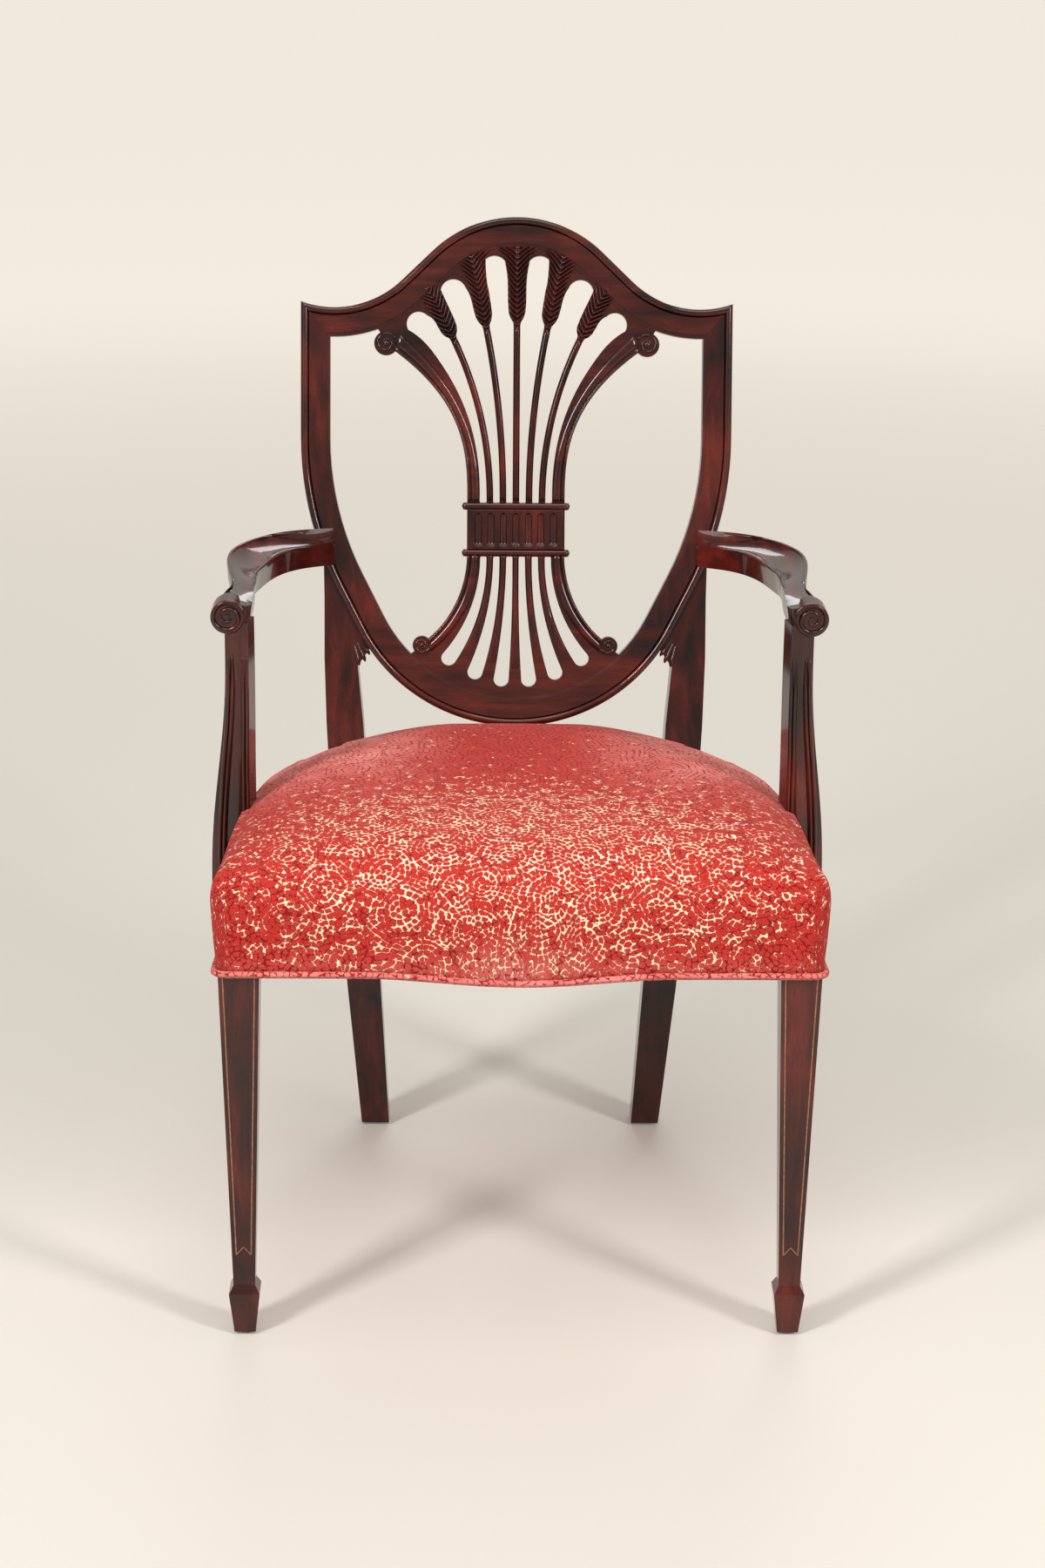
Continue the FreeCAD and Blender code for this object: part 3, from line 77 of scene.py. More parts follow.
def newMaterial(name):
    material = bpy.data.materials.new(name)
    material.use_nodes = True
    tree = material.node_tree
    shader = next(n for n in tree.nodes if n.type == "BSDF_PRINCIPLED")
    return material, tree, shader


def setRamp(node, stops):
    ramp = node.color_ramp
    while len(ramp.elements) > 1:
        ramp.elements.remove(ramp.elements[-1])
    for i, (place, hexText) in enumerate(stops):
        element = ramp.elements[0] if i == 0 else ramp.elements.new(place)
        element.position = place
        element.color = linearColour(hexText)


def addObject(name, data):
    thing = bpy.data.objects.new(name, data)
    bpy.context.scene.collection.objects.link(thing)
    return thing


def meshPiece(name, points, faces, material, smooth=True):
    mesh = bpy.data.meshes.new(name)
    mesh.from_pydata([tuple(p) for p in points], [], faces)
    mesh.validate()
    mesh.materials.append(material)
    mesh.polygons.foreach_set("use_smooth", [smooth] * len(mesh.polygons))
    piece = addObject(name, mesh)
    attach(piece, "root")
    return piece


def applyModifiers(piece):
    graph = bpy.context.evaluated_depsgraph_get()
    mesh = bpy.data.meshes.new_from_object(piece.evaluated_get(graph))
    piece.modifiers.clear()
    piece.data = mesh


def faceOutwards(piece):
    bm = bmesh.new()
    bm.from_mesh(piece.data)
    bmesh.ops.recalc_face_normals(bm, faces=bm.faces)
    bm.to_mesh(piece.data)
    bm.free()


def circle(count):
    turns = [2 * math.pi * j / count for j in range(count)]
    return [(math.cos(turn), math.sin(turn)) for turn in turns]


def tubeFaces(ringCount, perRing, caps=True, first=0):
    # faces between rings of points that follow each other in one list, from its point number first on
    faces = []
    for i in range(ringCount - 1):
        low, high = first + i * perRing, first + (i + 1) * perRing
        for j in range(perRing):
            k = (j + 1) % perRing
            faces.append((low + j, low + k, high + k, high + j))
    if caps:
        end = first + (ringCount - 1) * perRing
        faces.append(tuple(reversed(range(first, first + perRing))))
        faces.append(tuple(range(end, end + perRing)))
    return faces


# French-polished mahogany: a clear, very smooth film over red-brown wood gives sharp highlights
# on a dark body; painted shade darkens the colour in the carved hollows

mahogany = {
    "dark": "#190503",
    "body": "#3E0E07",
    "light": "#6A2113",
    "figureSpacing": 14 * mm,
    "poreSpacing": 0.7 * mm,
    "poreLength": 12 * mm,
    "poreDepth": 0.2 * mm,
    # how far the painted shade in the hollows looks for nearby surfaces
    "paintedShadeReach": 5 * mm,
}


def mahoganyMaterial(name, grain, film=0.8):
    # grain is the direction of the wood's fibres as a vector of 0 and 1, film the strength of the polish
    m = mahogany
    material, tree, shader = newMaterial(name)
    place = addNode(tree, "TexCoord").outputs["Object"]
    along = [0.12 if g else 1.0 for g in grain]
    fine = [m["poreSpacing"] / m["poreLength"] if g else 1.0 for g in grain]
    figurePlace = addNode(tree, "Mapping", {"Vector": place, "Scale": along})
    figure = addNode(tree, "TexNoise", {
        "Vector": figurePlace, "Scale": 1 / m["figureSpacing"], "Detail": 4.0, "Roughness": 0.55,
        "Distortion": 0.6})
    broad = addNode(tree, "TexNoise", {"Vector": place, "Scale": 9.0, "Detail": 2.0})
    mixed = addNode(tree, "Math", [figure.outputs["Fac"], broad.outputs["Fac"]], operation="ADD")
    share = addNode(tree, "Math", [mixed, 0.5], operation="MULTIPLY")
    tint = addNode(tree, "ValToRGB", [share])
    setRamp(tint, [(0.36, m["dark"]), (0.5, m["body"]), (0.68, m["light"])])
    porePlace = addNode(tree, "Mapping", {"Vector": place, "Scale": fine})
    pores = addNode(tree, "TexNoise", {
        "Vector": porePlace, "Scale": 1 / m["poreSpacing"], "Detail": 2.0, "Roughness": 0.6})
    poreMask = addNode(tree, "MapRange", {
        "Value": pores.outputs["Fac"], "From Min": 0.36, "From Max": 0.5, "To Min": 0.62, "To Max": 1.0})
    # painted shade: ambient occlusion darkens the colour in hollows and corners
    hollow = addNode(tree, "AmbientOcclusion", {"Distance": m["paintedShadeReach"]},
                     samples=6, only_local=True)
    paintedHollowShade = addNode(tree, "MapRange", {
        "Value": hollow.outputs["AO"], "From Min": 0.35, "From Max": 0.85, "To Min": 0.4, "To Max": 1.0})
    poresAndPaintedShade = addNode(tree, "Math", [poreMask, paintedHollowShade], operation="MULTIPLY")
    colour = addNode(tree, "Mix", {"Factor": 1.0, "A": tint, "B": poresAndPaintedShade},
                     data_type="RGBA", blend_type="MULTIPLY")
    bump = addNode(tree, "Bump", {
        "Height": pores.outputs["Fac"], "Strength": 0.12, "Distance": m["poreDepth"]})
    sheen = addNode(tree, "MapRange", {
        "Value": broad.outputs["Fac"], "From Min": 0.3, "From Max": 0.7, "To Min": 0.26, "To Max": 0.38})
    fillInputs(tree, shader, {
        "Base Color": colour.outputs["Result"], "Normal": bump, "Roughness": sheen, "Coat Weight": film,
        "Coat Roughness": 0.07, "IOR": 1.5, "Specular IOR Level": 0.15})
    return material


uprightMahogany = mahoganyMaterial("frenchPolishedMahoganyUpright", (0, 0, 1))
crossMahogany = mahoganyMaterial("frenchPolishedMahoganyCross", (1, 0, 0))
armMahogany = mahoganyMaterial("frenchPolishedMahoganyArm", (0, 1, 0))
# the polish was rubbed thinner into the fine carving, which shines less
carvedMahogany = mahoganyMaterial("thinlyPolishedMahoganyCarving", (0, 0, 1), film=0.3)
print("mahogany made")


# Sawn beech of the hidden seat frame: pale, dry and matte, with short flecks

beech = {"dark": "#9A744D", "light": "#C9A67C", "fleckSpacing": 3 * mm, "fleckDepth": 0.3 * mm}


def beechMaterial():
    material, tree, shader = newMaterial("sawnBeech")
    place = addNode(tree, "TexCoord").outputs["Object"]
    along = addNode(tree, "Mapping", {"Vector": place, "Scale": (0.15, 0.15, 1.0)})
    fleck = addNode(tree, "TexNoise", {
        "Vector": along, "Scale": 1 / beech["fleckSpacing"], "Detail": 5.0})
    tint = addNode(tree, "ValToRGB", [fleck.outputs["Fac"]])
    setRamp(tint, [(0.3, beech["dark"]), (0.7, beech["light"])])
    bump = addNode(tree, "Bump", {
        "Height": fleck.outputs["Fac"], "Strength": 0.3, "Distance": beech["fleckDepth"]})
    fillInputs(tree, shader, {"Base Color": tint, "Normal": bump, "Roughness": 0.75})
    return material


# Zinc-plated steel of screws and glides: grey and softly shiny

def steelMaterial():
    material, tree, shader = newMaterial("zincPlatedSteel")
    place = addNode(tree, "TexCoord").outputs["Object"]
    smear = addNode(tree, "TexNoise", {"Vector": place, "Scale": 400.0, "Detail": 3.0})
    rough = addNode(tree, "MapRange", {
        "Value": smear.outputs["Fac"], "From Min": 0.3, "From Max": 0.7, "To Min": 0.28, "To Max": 0.45})
    fillInputs(tree, shader, {"Base Color": linearColour("#A9ABB0"), "Metallic": 1.0, "Roughness": rough})
    return material


# Cloths woven over and under: jute webbing and black dust cloth

def wovenMaterial(name, dark, light, threadSpacing, roughness):
    material, tree, shader = newMaterial(name)
    place = addNode(tree, "TexCoord").outputs["Object"]
    turn = 2 * math.pi / threadSpacing
    apart = addNode(tree, "SeparateXYZ", [place])
    waves = []
    for axis in (0, 1):
        angle = addNode(tree, "Math", [apart.outputs[axis], turn], operation="MULTIPLY")
        waves.append(addNode(tree, "Math", [angle], operation="SINE"))
    weave = addNode(tree, "Math", waves, operation="MULTIPLY")
    share = addNode(tree, "MapRange", {"Value": weave, "From Min": -1.0, "From Max": 1.0})
    tint = addNode(tree, "ValToRGB", [share])
    setRamp(tint, [(0.2, dark), (0.8, light)])
    bump = addNode(tree, "Bump", {"Height": share, "Strength": 0.6, "Distance": 0.4 * mm})
    fillInputs(tree, shader, {"Base Color": tint, "Normal": bump, "Roughness": roughness})
    return material


# Chenille weave of the seat: short red pile in rows of dots that swirl about many centres, over a
# smooth cream ground; dark red painted shade lies between the dots, and a pink painted sheen in places

chenille = {
    "pile": "#C62A22",
    "pileDeep": "#9A1814",
    "pileTip": "#DD6054",
    # painted sheen: the pink laid on the pile where it catches the light
    "paintedSheenPink": "#F09A90",
    "gapShadeRed": "#8C1513",
    # painted shade: the dark red in the gaps between pile dots where the cream ground doesn't show
    "ground": "#FBEBC6",
    "swirlSpacing": 46 * mm,
    "rowSpacing": 5.6 * mm,
    "pileHeight": 1.4 * mm,
    "fibreSpacing": 0.9 * mm,
    "wanderSpacing": 26 * mm,
    "wanderReach": 15 * mm,
    "dotPitch": 0.95,
    "rowStagger": 0.37,
    "fraySpacing": 3.2 * mm,
    "fray": 0.45,
    "wearSpacing": 17 * mm,
    "patchSpacing": 10 * mm,
    "laySpacing": 60 * mm,
    "patternMiddle": (0.0, -0.25, 0.0),
    "patternReach": (0.4, 0.24, 1.0),
    # where the painted sheen lies on the flat cloth: out to the sides and back for the rear corners, and low
    # on the front
    "sheenFromX": (0.04, 0.17),
    "sheenFromY": (-0.16, 0.06),
    "sheenFront": (-0.34, -0.41),
}


def chenilleMaterial():
    m = chenille
    material, tree, shader = newMaterial("cutChenille")
    flat = addNode(tree, "Attribute", attribute_name="clothFlat").outputs["Vector"]
    fray, wear, patch, fibres, lay = [
        addNode(tree, "TexNoise", {"Vector": flat, "Scale": 1 / m[size + "Spacing"], "Detail": 2.0})
        for size in ("fray", "wear", "patch", "fibre", "lay")]
    wander = addNode(tree, "TexNoise", {
        "Vector": flat, "Scale": 1 / m["wanderSpacing"], "Detail": 1.0})
    shift = addNode(tree, "VectorMath", [wander.outputs["Color"], (0.5, 0.5, 0.5)],
                    operation="SUBTRACT")
    push = addNode(tree, "VectorMath", {0: shift, "Scale": m["wanderReach"]}, operation="SCALE")
    moved = addNode(tree, "VectorMath", [flat, push], operation="ADD")
    scaled = addNode(tree, "VectorMath", {0: moved, "Scale": 1 / m["swirlSpacing"]},
                     operation="SCALE")
    cells = addNode(tree, "TexVoronoi", {"Vector": scaled, "Scale": 1.0, "Randomness": 0.85},
                    voronoi_dimensions="2D", feature="F1")
    fromCentre = addNode(tree, "VectorMath", [scaled, cells.outputs["Position"]],
                         operation="SUBTRACT")
    parts = addNode(tree, "SeparateXYZ", [fromCentre])
    reach = addNode(tree, "VectorMath", [fromCentre], operation="LENGTH")
    rows = addNode(tree, "Math", [reach.outputs["Value"], m["swirlSpacing"] / m["rowSpacing"]],
                   operation="MULTIPLY")
    row = addNode(tree, "Math", [rows], operation="ROUND")
    off = addNode(tree, "Math", [rows, row], operation="SUBTRACT")
    angle = addNode(tree, "Math", [parts.outputs[1], parts.outputs[0]], operation="ARCTAN2")
    around = addNode(tree, "Math", [row, 2 * math.pi * m["dotPitch"]], operation="MULTIPLY")
    count = addNode(tree, "Math", [around], operation="ROUND")
    turns = addNode(tree, "Math", [angle, 1 / (2 * math.pi)], operation="MULTIPLY")
    stagger = addNode(tree, "Math", [row, m["rowStagger"]], operation="MULTIPLY")
    dots = addNode(tree, "Math", [turns, count], operation="MULTIPLY")
    dotPlace = addNode(tree, "Math", [dots, stagger], operation="ADD")
    dot = addNode(tree, "Math", [dotPlace], operation="ROUND")
    dotOff = addNode(tree, "Math", [dotPlace, dot], operation="SUBTRACT")
    # a dot is a rounded square: the fourth powers of both distances add up
    absOff = addNode(tree, "Math", [off], operation="ABSOLUTE")
    radial = addNode(tree, "Math", [absOff, 4.0], operation="POWER")
    alongRow = addNode(tree, "Math", [dotOff, m["dotPitch"]], operation="MULTIPLY")
    absDot = addNode(tree, "Math", [alongRow], operation="ABSOLUTE")
    across = addNode(tree, "Math", [absDot, 4.0], operation="POWER")
    both = addNode(tree, "Math", [radial, across], operation="ADD")
    size = addNode(tree, "Math", [both, 0.25], operation="POWER")
    frayed = addNode(tree, "Math", [fray.outputs["Fac"], m["fray"], size], operation="MULTIPLY_ADD")
    limit = addNode(tree, "MapRange", {
        "Value": wear.outputs["Fac"], "From Min": 0.35, "From Max": 0.65, "To Min": 0.60, "To Max": 0.72})
    edge = addNode(tree, "Math", [limit, frayed], operation="SUBTRACT")
    pile = addNode(tree, "MapRange", {
        "Value": edge, "From Min": -0.05, "From Max": 0.05}, interpolation_type="SMOOTHSTEP")
    # the ground shows cream where the pile stands apart, most over the front half of the seat
    fromMiddle = addNode(tree, "VectorMath", [flat, m["patternMiddle"]], operation="SUBTRACT")
    zoneFlat = addNode(tree, "VectorMath", [fromMiddle, m["patternReach"]], operation="DIVIDE")
    zoneReach = addNode(tree, "VectorMath", [zoneFlat], operation="LENGTH")
    zone = addNode(tree, "MapRange", {
        "Value": zoneReach.outputs["Value"], "From Min": 0.25, "From Max": 1.1,
        "To Min": 0.12, "To Max": -0.12}, interpolation_type="SMOOTHSTEP")
    opened = addNode(tree, "Math", [patch.outputs["Fac"], zone], operation="ADD")
    cream = addNode(tree, "MapRange", {
        "Value": opened, "From Min": 0.5, "From Max": 0.58}, interpolation_type="SMOOTHSTEP")
    # where no cream shows, the gaps between the dots take a dark red painted shade
    groundColour = addNode(tree, "Mix", {
        "Factor": cream, "A": linearColour(m["gapShadeRed"]), "B": linearColour(m["ground"])}, data_type="RGBA")
    pileTint = addNode(tree, "ValToRGB", [fibres.outputs["Fac"]])
    setRamp(pileTint, [(0.3, m["pileDeep"]), (0.52, m["pile"]), (0.75, m["pileTip"])])
    # painted sheen: the pile is painted pink at the back corners and low on the front, in patches
    place = addNode(tree, "SeparateXYZ", [flat])
    absX = addNode(tree, "Math", [place.outputs[0]], operation="ABSOLUTE")
    outwards = addNode(tree, "MapRange", {
        "Value": absX, "From Min": m["sheenFromX"][0], "From Max": m["sheenFromX"][1]},
        interpolation_type="SMOOTHSTEP")
    backwards = addNode(tree, "MapRange", {
        "Value": place.outputs[1], "From Min": m["sheenFromY"][0], "From Max": m["sheenFromY"][1]},
        interpolation_type="SMOOTHSTEP")
    corners = addNode(tree, "Math", [outwards, backwards], operation="MULTIPLY")
    lower = addNode(tree, "MapRange", {
        "Value": place.outputs[1], "From Min": m["sheenFront"][0], "From Max": m["sheenFront"][1],
        "To Max": 0.7}, interpolation_type="SMOOTHSTEP")
    paintedSheenPlaces = addNode(tree, "Math", [corners, lower], operation="MAXIMUM")
    layShare = addNode(tree, "MapRange", {
        "Value": lay.outputs["Fac"], "From Min": 0.35, "From Max": 0.65, "To Min": 0.45, "To Max": 1.0})
    paintedSheen = addNode(tree, "Math", [paintedSheenPlaces, layShare], operation="MULTIPLY")
    paintedSheenShare = addNode(tree, "Math", [paintedSheen, 0.95], operation="MULTIPLY")
    pileColour = addNode(tree, "Mix", {
        "Factor": paintedSheenShare, "A": pileTint, "B": linearColour(m["paintedSheenPink"])}, data_type="RGBA")
    # under the painted sheen the cream ground is tinted towards the pile red
    groundSheenShare = addNode(tree, "Math", [paintedSheenShare, 0.6], operation="MULTIPLY")
    groundUnderSheen = addNode(tree, "Mix", {
        "Factor": groundSheenShare, "A": groundColour.outputs["Result"], "B": linearColour(m["pile"])},
        data_type="RGBA")
    colour = addNode(tree, "Mix", {
        "Factor": pile, "A": groundUnderSheen.outputs["Result"], "B": pileColour.outputs["Result"]},
        data_type="RGBA")
    height = addNode(tree, "Math", [fibres.outputs["Fac"], 0.35, pile], operation="MULTIPLY_ADD")
    bump = addNode(tree, "Bump", {"Height": height, "Strength": 0.7, "Distance": m["pileHeight"]})
    fillInputs(tree, shader, {
        "Base Color": colour.outputs["Result"], "Normal": bump, "Roughness": 0.85, "Sheen Weight": 0.3,
        "Sheen Roughness": 0.4, "Sheen Tint": linearColour("#F2A79C"), "Specular IOR Level": 0.2})
    return material


# String inlay: a pale boxwood line let into the legs, dulled by the polish over it

def stringingMaterial():
    material, tree, shader = newMaterial("polishedBoxwoodString")
    place = addNode(tree, "TexCoord").outputs["Object"]
    fleck = addNode(tree, "TexNoise", {"Vector": place, "Scale": 300.0, "Detail": 3.0})
    tint = addNode(tree, "ValToRGB", [fleck.outputs["Fac"]])
    setRamp(tint, [(0.35, "#7E4A2C"), (0.65, "#A36B42")])
    fillInputs(tree, shader, {
        "Base Color": tint, "Roughness": 0.3, "Coat Weight": 1.0, "Coat Roughness": 0.08})
    return material


chenilleCloth = chenilleMaterial()
boxwoodString = stringingMaterial()
sawnBeech = beechMaterial()
zincSteel = steelMaterial()
juteWeave = wovenMaterial("wovenJute", "#5E4527", "#A98655", 2.4 * mm, 0.9)
dustCloth = wovenMaterial("blackDustCloth", "#0C0C0C", "#262524", 1.6 * mm, 0.85)
print("materials made")


# the carried-over CAD nodes take the finish of the real piece

def finishNode(name, material):
    mesh = nodes[name].data
    mesh.materials.clear()
    mesh.materials.append(material)
    mesh.polygons.foreach_set("material_index", [0] * len(mesh.polygons))


for name in ("crest_rail", "shield_rail", "splat"):
    finishNode(name, crossMahogany)
for sideName, side in sides:
    finishNode("arm_" + sideName, armMahogany)
    for name in ("rear_post_", "arm_support_", "front_leg_"):
        finishNode(name + sideName, uprightMahogany)
    for name in ("side_rail_", "corner_block_front_", "corner_block_rear_"):
        finishNode(name + sideName, sawnBeech)
for name in ("front_rail", "rear_rail", "rail_dowels", "shield_dowels"):
    finishNode(name, sawnBeech)
for name in ("glides", "arm_screws", "support_screws", "block_screws"):
    finishNode(name, zincSteel)
finishNode("webbing", juteWeave)
finishNode("dust_cover", dustCloth)
finishNode("seat_pad", dustCloth)


# Carving on the splat and frame. It is drawn in the shield's own plane: u to the side, v up the
# rake from the shield's foot, w forwards, all in millimetres

shield = {
    "footY": 173.7,
    "footZ": 471.5,
    "rake": math.radians(12.3),
    "splatFace": -3.0,
    "stemStart": 232.5,
    "sunk": 0.6,  # how deep a carved strip's edge is let into the face
}


def onShield(u, v, w):
    lean = shield["rake"]
    y = shield["footY"] + v * math.sin(lean) - w * math.cos(lean)
    z = shield["footZ"] + v * math.cos(lean) + w * math.sin(lean)
    return Vector((u, y, z)) * mm


def mirrored(edge, side):
    return [(side * p[0], p[1]) for p in edge]


def halfRound(t):
    # height of a half round over its middle line, which reaches from -1 to 1
    return math.sqrt(max(1 - t * t, 0.0))


def reliefStrip(name, leftEdge, rightEdge, heightAt, across, material, base=None):
    # a closed strip between two edges of equal count, standing on the splat's face
    base = shield["splatFace"] - shield["sunk"] if base is None else base
    points = []
    last = len(leftEdge) - 1
    for i, (a, b) in enumerate(zip(leftEdge, rightEdge)):
        for j in range(across + 1):
            t = j / across
            u, v = a[0] + (b[0] - a[0]) * t, a[1] + (b[1] - a[1]) * t
            points.append(onShield(u, v, base + max(heightAt(i / last, 2 * t - 1), 0.05)))
    rowLength = across + 1
    bottom = len(points)
    for a, b in zip(leftEdge, rightEdge):
        points += [onShield(a[0], a[1], base - 1.0), onShield(b[0], b[1], base - 1.0)]
    faces = []
    for i in range(last):
        for j in range(across):
            k = i * rowLength + j
            faces.append((k, k + 1, k + rowLength + 1, k + rowLength))
        k, low = i * rowLength, bottom + 2 * i
        faces.append((k, k + rowLength, low + 2, low))
        faces.append((k + across, low + 1, low + 3, k + rowLength + across))
        faces.append((low, low + 2, low + 3, low + 1))
    for i in (0, last):
        row = [i * rowLength + j for j in range(rowLength)]
        end = row + [bottom + 2 * i + 1, bottom + 2 * i]
        faces.append(tuple(end if i else reversed(end)))
    faceOutwards(meshPiece(name, points, faces, material))


def bentStem(startU, startV, endU, endV, count=28):
    # a stem that starts upright and bends over as an arc: its points, each with the way it heads
    across, up = endU - startU, endV - startV
    if abs(across) < 0.01:
        return [(startU, startV + up * i / count, 0.0) for i in range(count + 1)]
    radius = (across ** 2 + up ** 2) / (2 * abs(across))
    total = math.copysign(math.asin(min(abs(up) / radius, 1.0)), up)
    turn = math.copysign(1, across)
    stem = []
    for i in range(count + 1):
        u = startU + turn * radius * (1 - math.cos(total * i / count))
        stem.append((u, startV + radius * math.sin(total * i / count), turn * total * i / count))
    return stem


# Wheat ears on their stems: a herringbone of barbs on both sides of a midrib, which spreads at the
# top to fill the web under the crest. The barbs are as coarse as they need to be to show

ears = {
    # where the stem starts, the neck across and up, the length, how far each side of the top spreads
    "centre": (0.0, 0.0, 411.0, 80.0, 17.0, 17.0),
    "inner": (13.4, 31.2, 408.0, 78.0, 15.0, 18.0),
    "outer": (26.8, 64.7, 397.0, 62.0, 10.0, 17.0),
    "halfWidth": 9.6,
    "outline": ((0.0, 0.36), (0.04, 0.42), (0.1, 0.72), (0.17, 0.9), (0.3, 0.98), (0.56, 1.0), (1.0, 1.0)),
    "topFlare": 5.0,
    "barbSpacing": 5.4,
    "barbDepth": 2.6,
    "barbLean": (6.0, 10.0),  # at the neck, and what the top adds
    "midrib": 0.9,
    "rise": 3.4,
    "rows": 150,
    "across": 56,
    "stemHalf": 3.45,
    "stemRise": 3.0,
}


def earOutline(share):
    table = ears["outline"]
    for (s0, w0), (s1, w1) in zip(table, table[1:]):
        if share <= s1:
            return w0 + (w1 - w0) * (share - s0) / (s1 - s0)
    return 1.0


def carveEar(key, side, sideName=""):
    stemStart, neckU, neckV, length, spreadIn, spreadOut = ears[key]
    stem = bentStem(stemStart, shield["stemStart"], neckU, neckV)
    heading = stem[-1][2]
    left, right = [], []
    for i in range(ears["rows"] + 1):
        share = i / ears["rows"]
        along = share * length
        width = ears["halfWidth"] * earOutline(share)
        flare = max(0.0, (share - 0.5) / 0.5) ** 1.8
        u, v = neckU + along * math.sin(heading), neckV + along * math.cos(heading)
        for edge, sign, spread in ((left, -1, spreadIn), (right, 1, spreadOut)):
            reach = width + (spread - width) * flare if spread > width else width
            reach += ears["topFlare"] * max(0.0, (share - 0.88) / 0.12)
            edge.append((u + sign * reach * math.cos(heading), v - sign * reach * math.sin(heading)))

    def height(s, t):
        body = ears["rise"] * (0.35 + 0.65 * halfRound(t)) * (1 - 0.35 * s)
        row = (s * length - abs(t) * (ears["barbLean"][0] + ears["barbLean"][1] * s)) / ears["barbSpacing"]
        barb = abs(math.sin(math.pi * row)) ** 0.8
        ends = min(1.0, s / 0.06)
        midrib = ears["midrib"] * max(0.0, 1 - abs(t) / 0.12)
        return body + shield["sunk"] + ears["barbDepth"] * (barb - 0.7) * ends + midrib

    def stemHeight(s, t):
        return ears["stemRise"] * halfRound(t) + shield["sunk"]

    half = ears["stemHalf"]
    stemLeft = [(u - half * math.cos(a), v + half * math.sin(a)) for u, v, a in stem]
    stemRight = [(u + half * math.cos(a), v - half * math.sin(a)) for u, v, a in stem]
    tag = key.capitalize() + sideName.capitalize() if sideName else ""
    # mirrored to the left side, the two edges change places
    left, right = [mirrored(edge, side) for edge in (left, right)][::side]
    reliefStrip("wheatEar" + tag, left, right, height, ears["across"], carvedMahogany)
    left, right = [mirrored(edge, side) for edge in (stemLeft, stemRight)][::side]
    reliefStrip("wheatStem" + tag, left, right, stemHeight, 10, carvedMahogany)


carveEar("centre", 1)
for sideName, side in sides:
    carveEar("inner", side, sideName)
    carveEar("outer", side, sideName)
print("wheat ears carved")


# Outer bands of the splat: a bead along the outer edge, a groove and a rounded inner part. They
# run into wound scrolls at both ends

bands = {
    "starts": (50.2, 37.2),  # outer and inner edge at the binding
    "lowStart": 175.0,
    "topScroll": (133.7, 392.2),
    "lowScroll": (96.3, 83.4),
    "topEnds": ((-6.0, -6.0), (-13.0, 11.0)),  # where both edges end, from the scroll's middle
    "lowEnds": ((-5.0, 5.0), (-10.0, -6.0)),
    "topPowers": (2.8, 2.4),
    "topShift": (0.0, 0.2),
    "lowShift": (0.0, 0.8),
    "topRadius": 12.3,
    "lowRadius": 9.5,
    "rise": 3.2,
    "beadShare": 0.9,
    "across": 22,
}
scrolls = {"turns": 1.35, "steps": 54, "around": 8, "inset": 1.3, "closes": 0.74, "thick": 1.5, "thins": 0.35,
           "lift": 1.3, "eyeShare": 0.26, "eyeFoot": 1.2, "eyeRise": 1.9, "eyeRings": 6, "eyeAround": 16}


def powerCurve(start, end, power, count=36):
    # a line that rises straight and leans out more and more
    shares = [i / count for i in range(count + 1)]
    return [(start[0] + (end[0] - start[0]) * t ** power, start[1] + (end[1] - start[1]) * t) for t in shares]


def bandProfile(s, t):
    # t runs from the outer edge at -1 to the inner edge at 1
    rise = bands["rise"]
    if t < -0.45:
        return 0.6 + rise * bands["beadShare"] * halfRound((t + 0.725) / 0.275)
    return 0.5 + rise * halfRound((t - 0.3) / 0.75)


def carveBand(side, sideName):
    b = bands
    upper, lower = [], []
    for i, startU in enumerate(b["starts"]):
        endU, endV = [middle + off for middle, off in zip(b["topScroll"], b["topEnds"][i])]
        curve = powerCurve((startU, shield["stemStart"] - 0.5), (endU, endV), b["topPowers"][i])
        upper.append(mirrored([(u + b["topShift"][i], v) for u, v in curve], side))
        endU, endV = [middle + off for middle, off in zip(b["lowScroll"], b["lowEnds"][i])]
        lower.append(mirrored(bentStem(startU + b["lowShift"][i], b["lowStart"] + 2.5, endU, endV), side))
    reliefStrip("upperBand" + sideName.capitalize(), *upper, bandProfile, b["across"], crossMahogany)
    reliefStrip("lowerBand" + sideName.capitalize(), *lower, bandProfile, b["across"], crossMahogany)


def carveScroll(name, centre, radius, side, startAngle, winding):
    # a ridge that winds in from the disc's rim to a raised eye
    k = scrolls
    points = []

    def add(r, across, up, w):
        points.append(onShield(side * (centre[0] + r * across), centre[1] + r * up, shield["splatFace"] + w))

    for i in range(k["steps"] + 1):
        share = i / k["steps"]
        angle = startAngle + winding * 2 * math.pi * k["turns"] * share
        reach = (radius - k["inset"]) * (1 - k["closes"] * share)
        thick = k["thick"] * (1 - k["thins"] * share)
        for out, up in circle(k["around"]):
            add(reach + thick * out, math.cos(angle), math.sin(angle), k["lift"] + thick * up)
    faces = tubeFaces(k["steps"] + 1, k["around"])
    faces += tubeFaces(k["eyeRings"], k["eyeAround"], first=len(points))
    for i in range(k["eyeRings"]):
        rise = math.pi / 2 * i / k["eyeRings"]
        w = k["eyeFoot"] + k["eyeRise"] * math.sin(rise)
        for across, up in circle(k["eyeAround"]):
            add(radius * k["eyeShare"] * math.cos(rise), across, up, w)
    faceOutwards(meshPiece(name, points, faces, crossMahogany))


for sideName, side in sides:
    carveBand(side, sideName)
    for name, key, turn, winding in (("upperScroll", "top", 150, -1), ("lowerScroll", "low", 200, 1)):
        carveScroll(name + sideName.capitalize(), bands[key + "Scroll"], bands[key + "Radius"], side,
                    math.radians(turn), winding)
print("splat bands and scrolls carved")


# Ribs between the lower piercings, rounded over and widening into the shield's foot

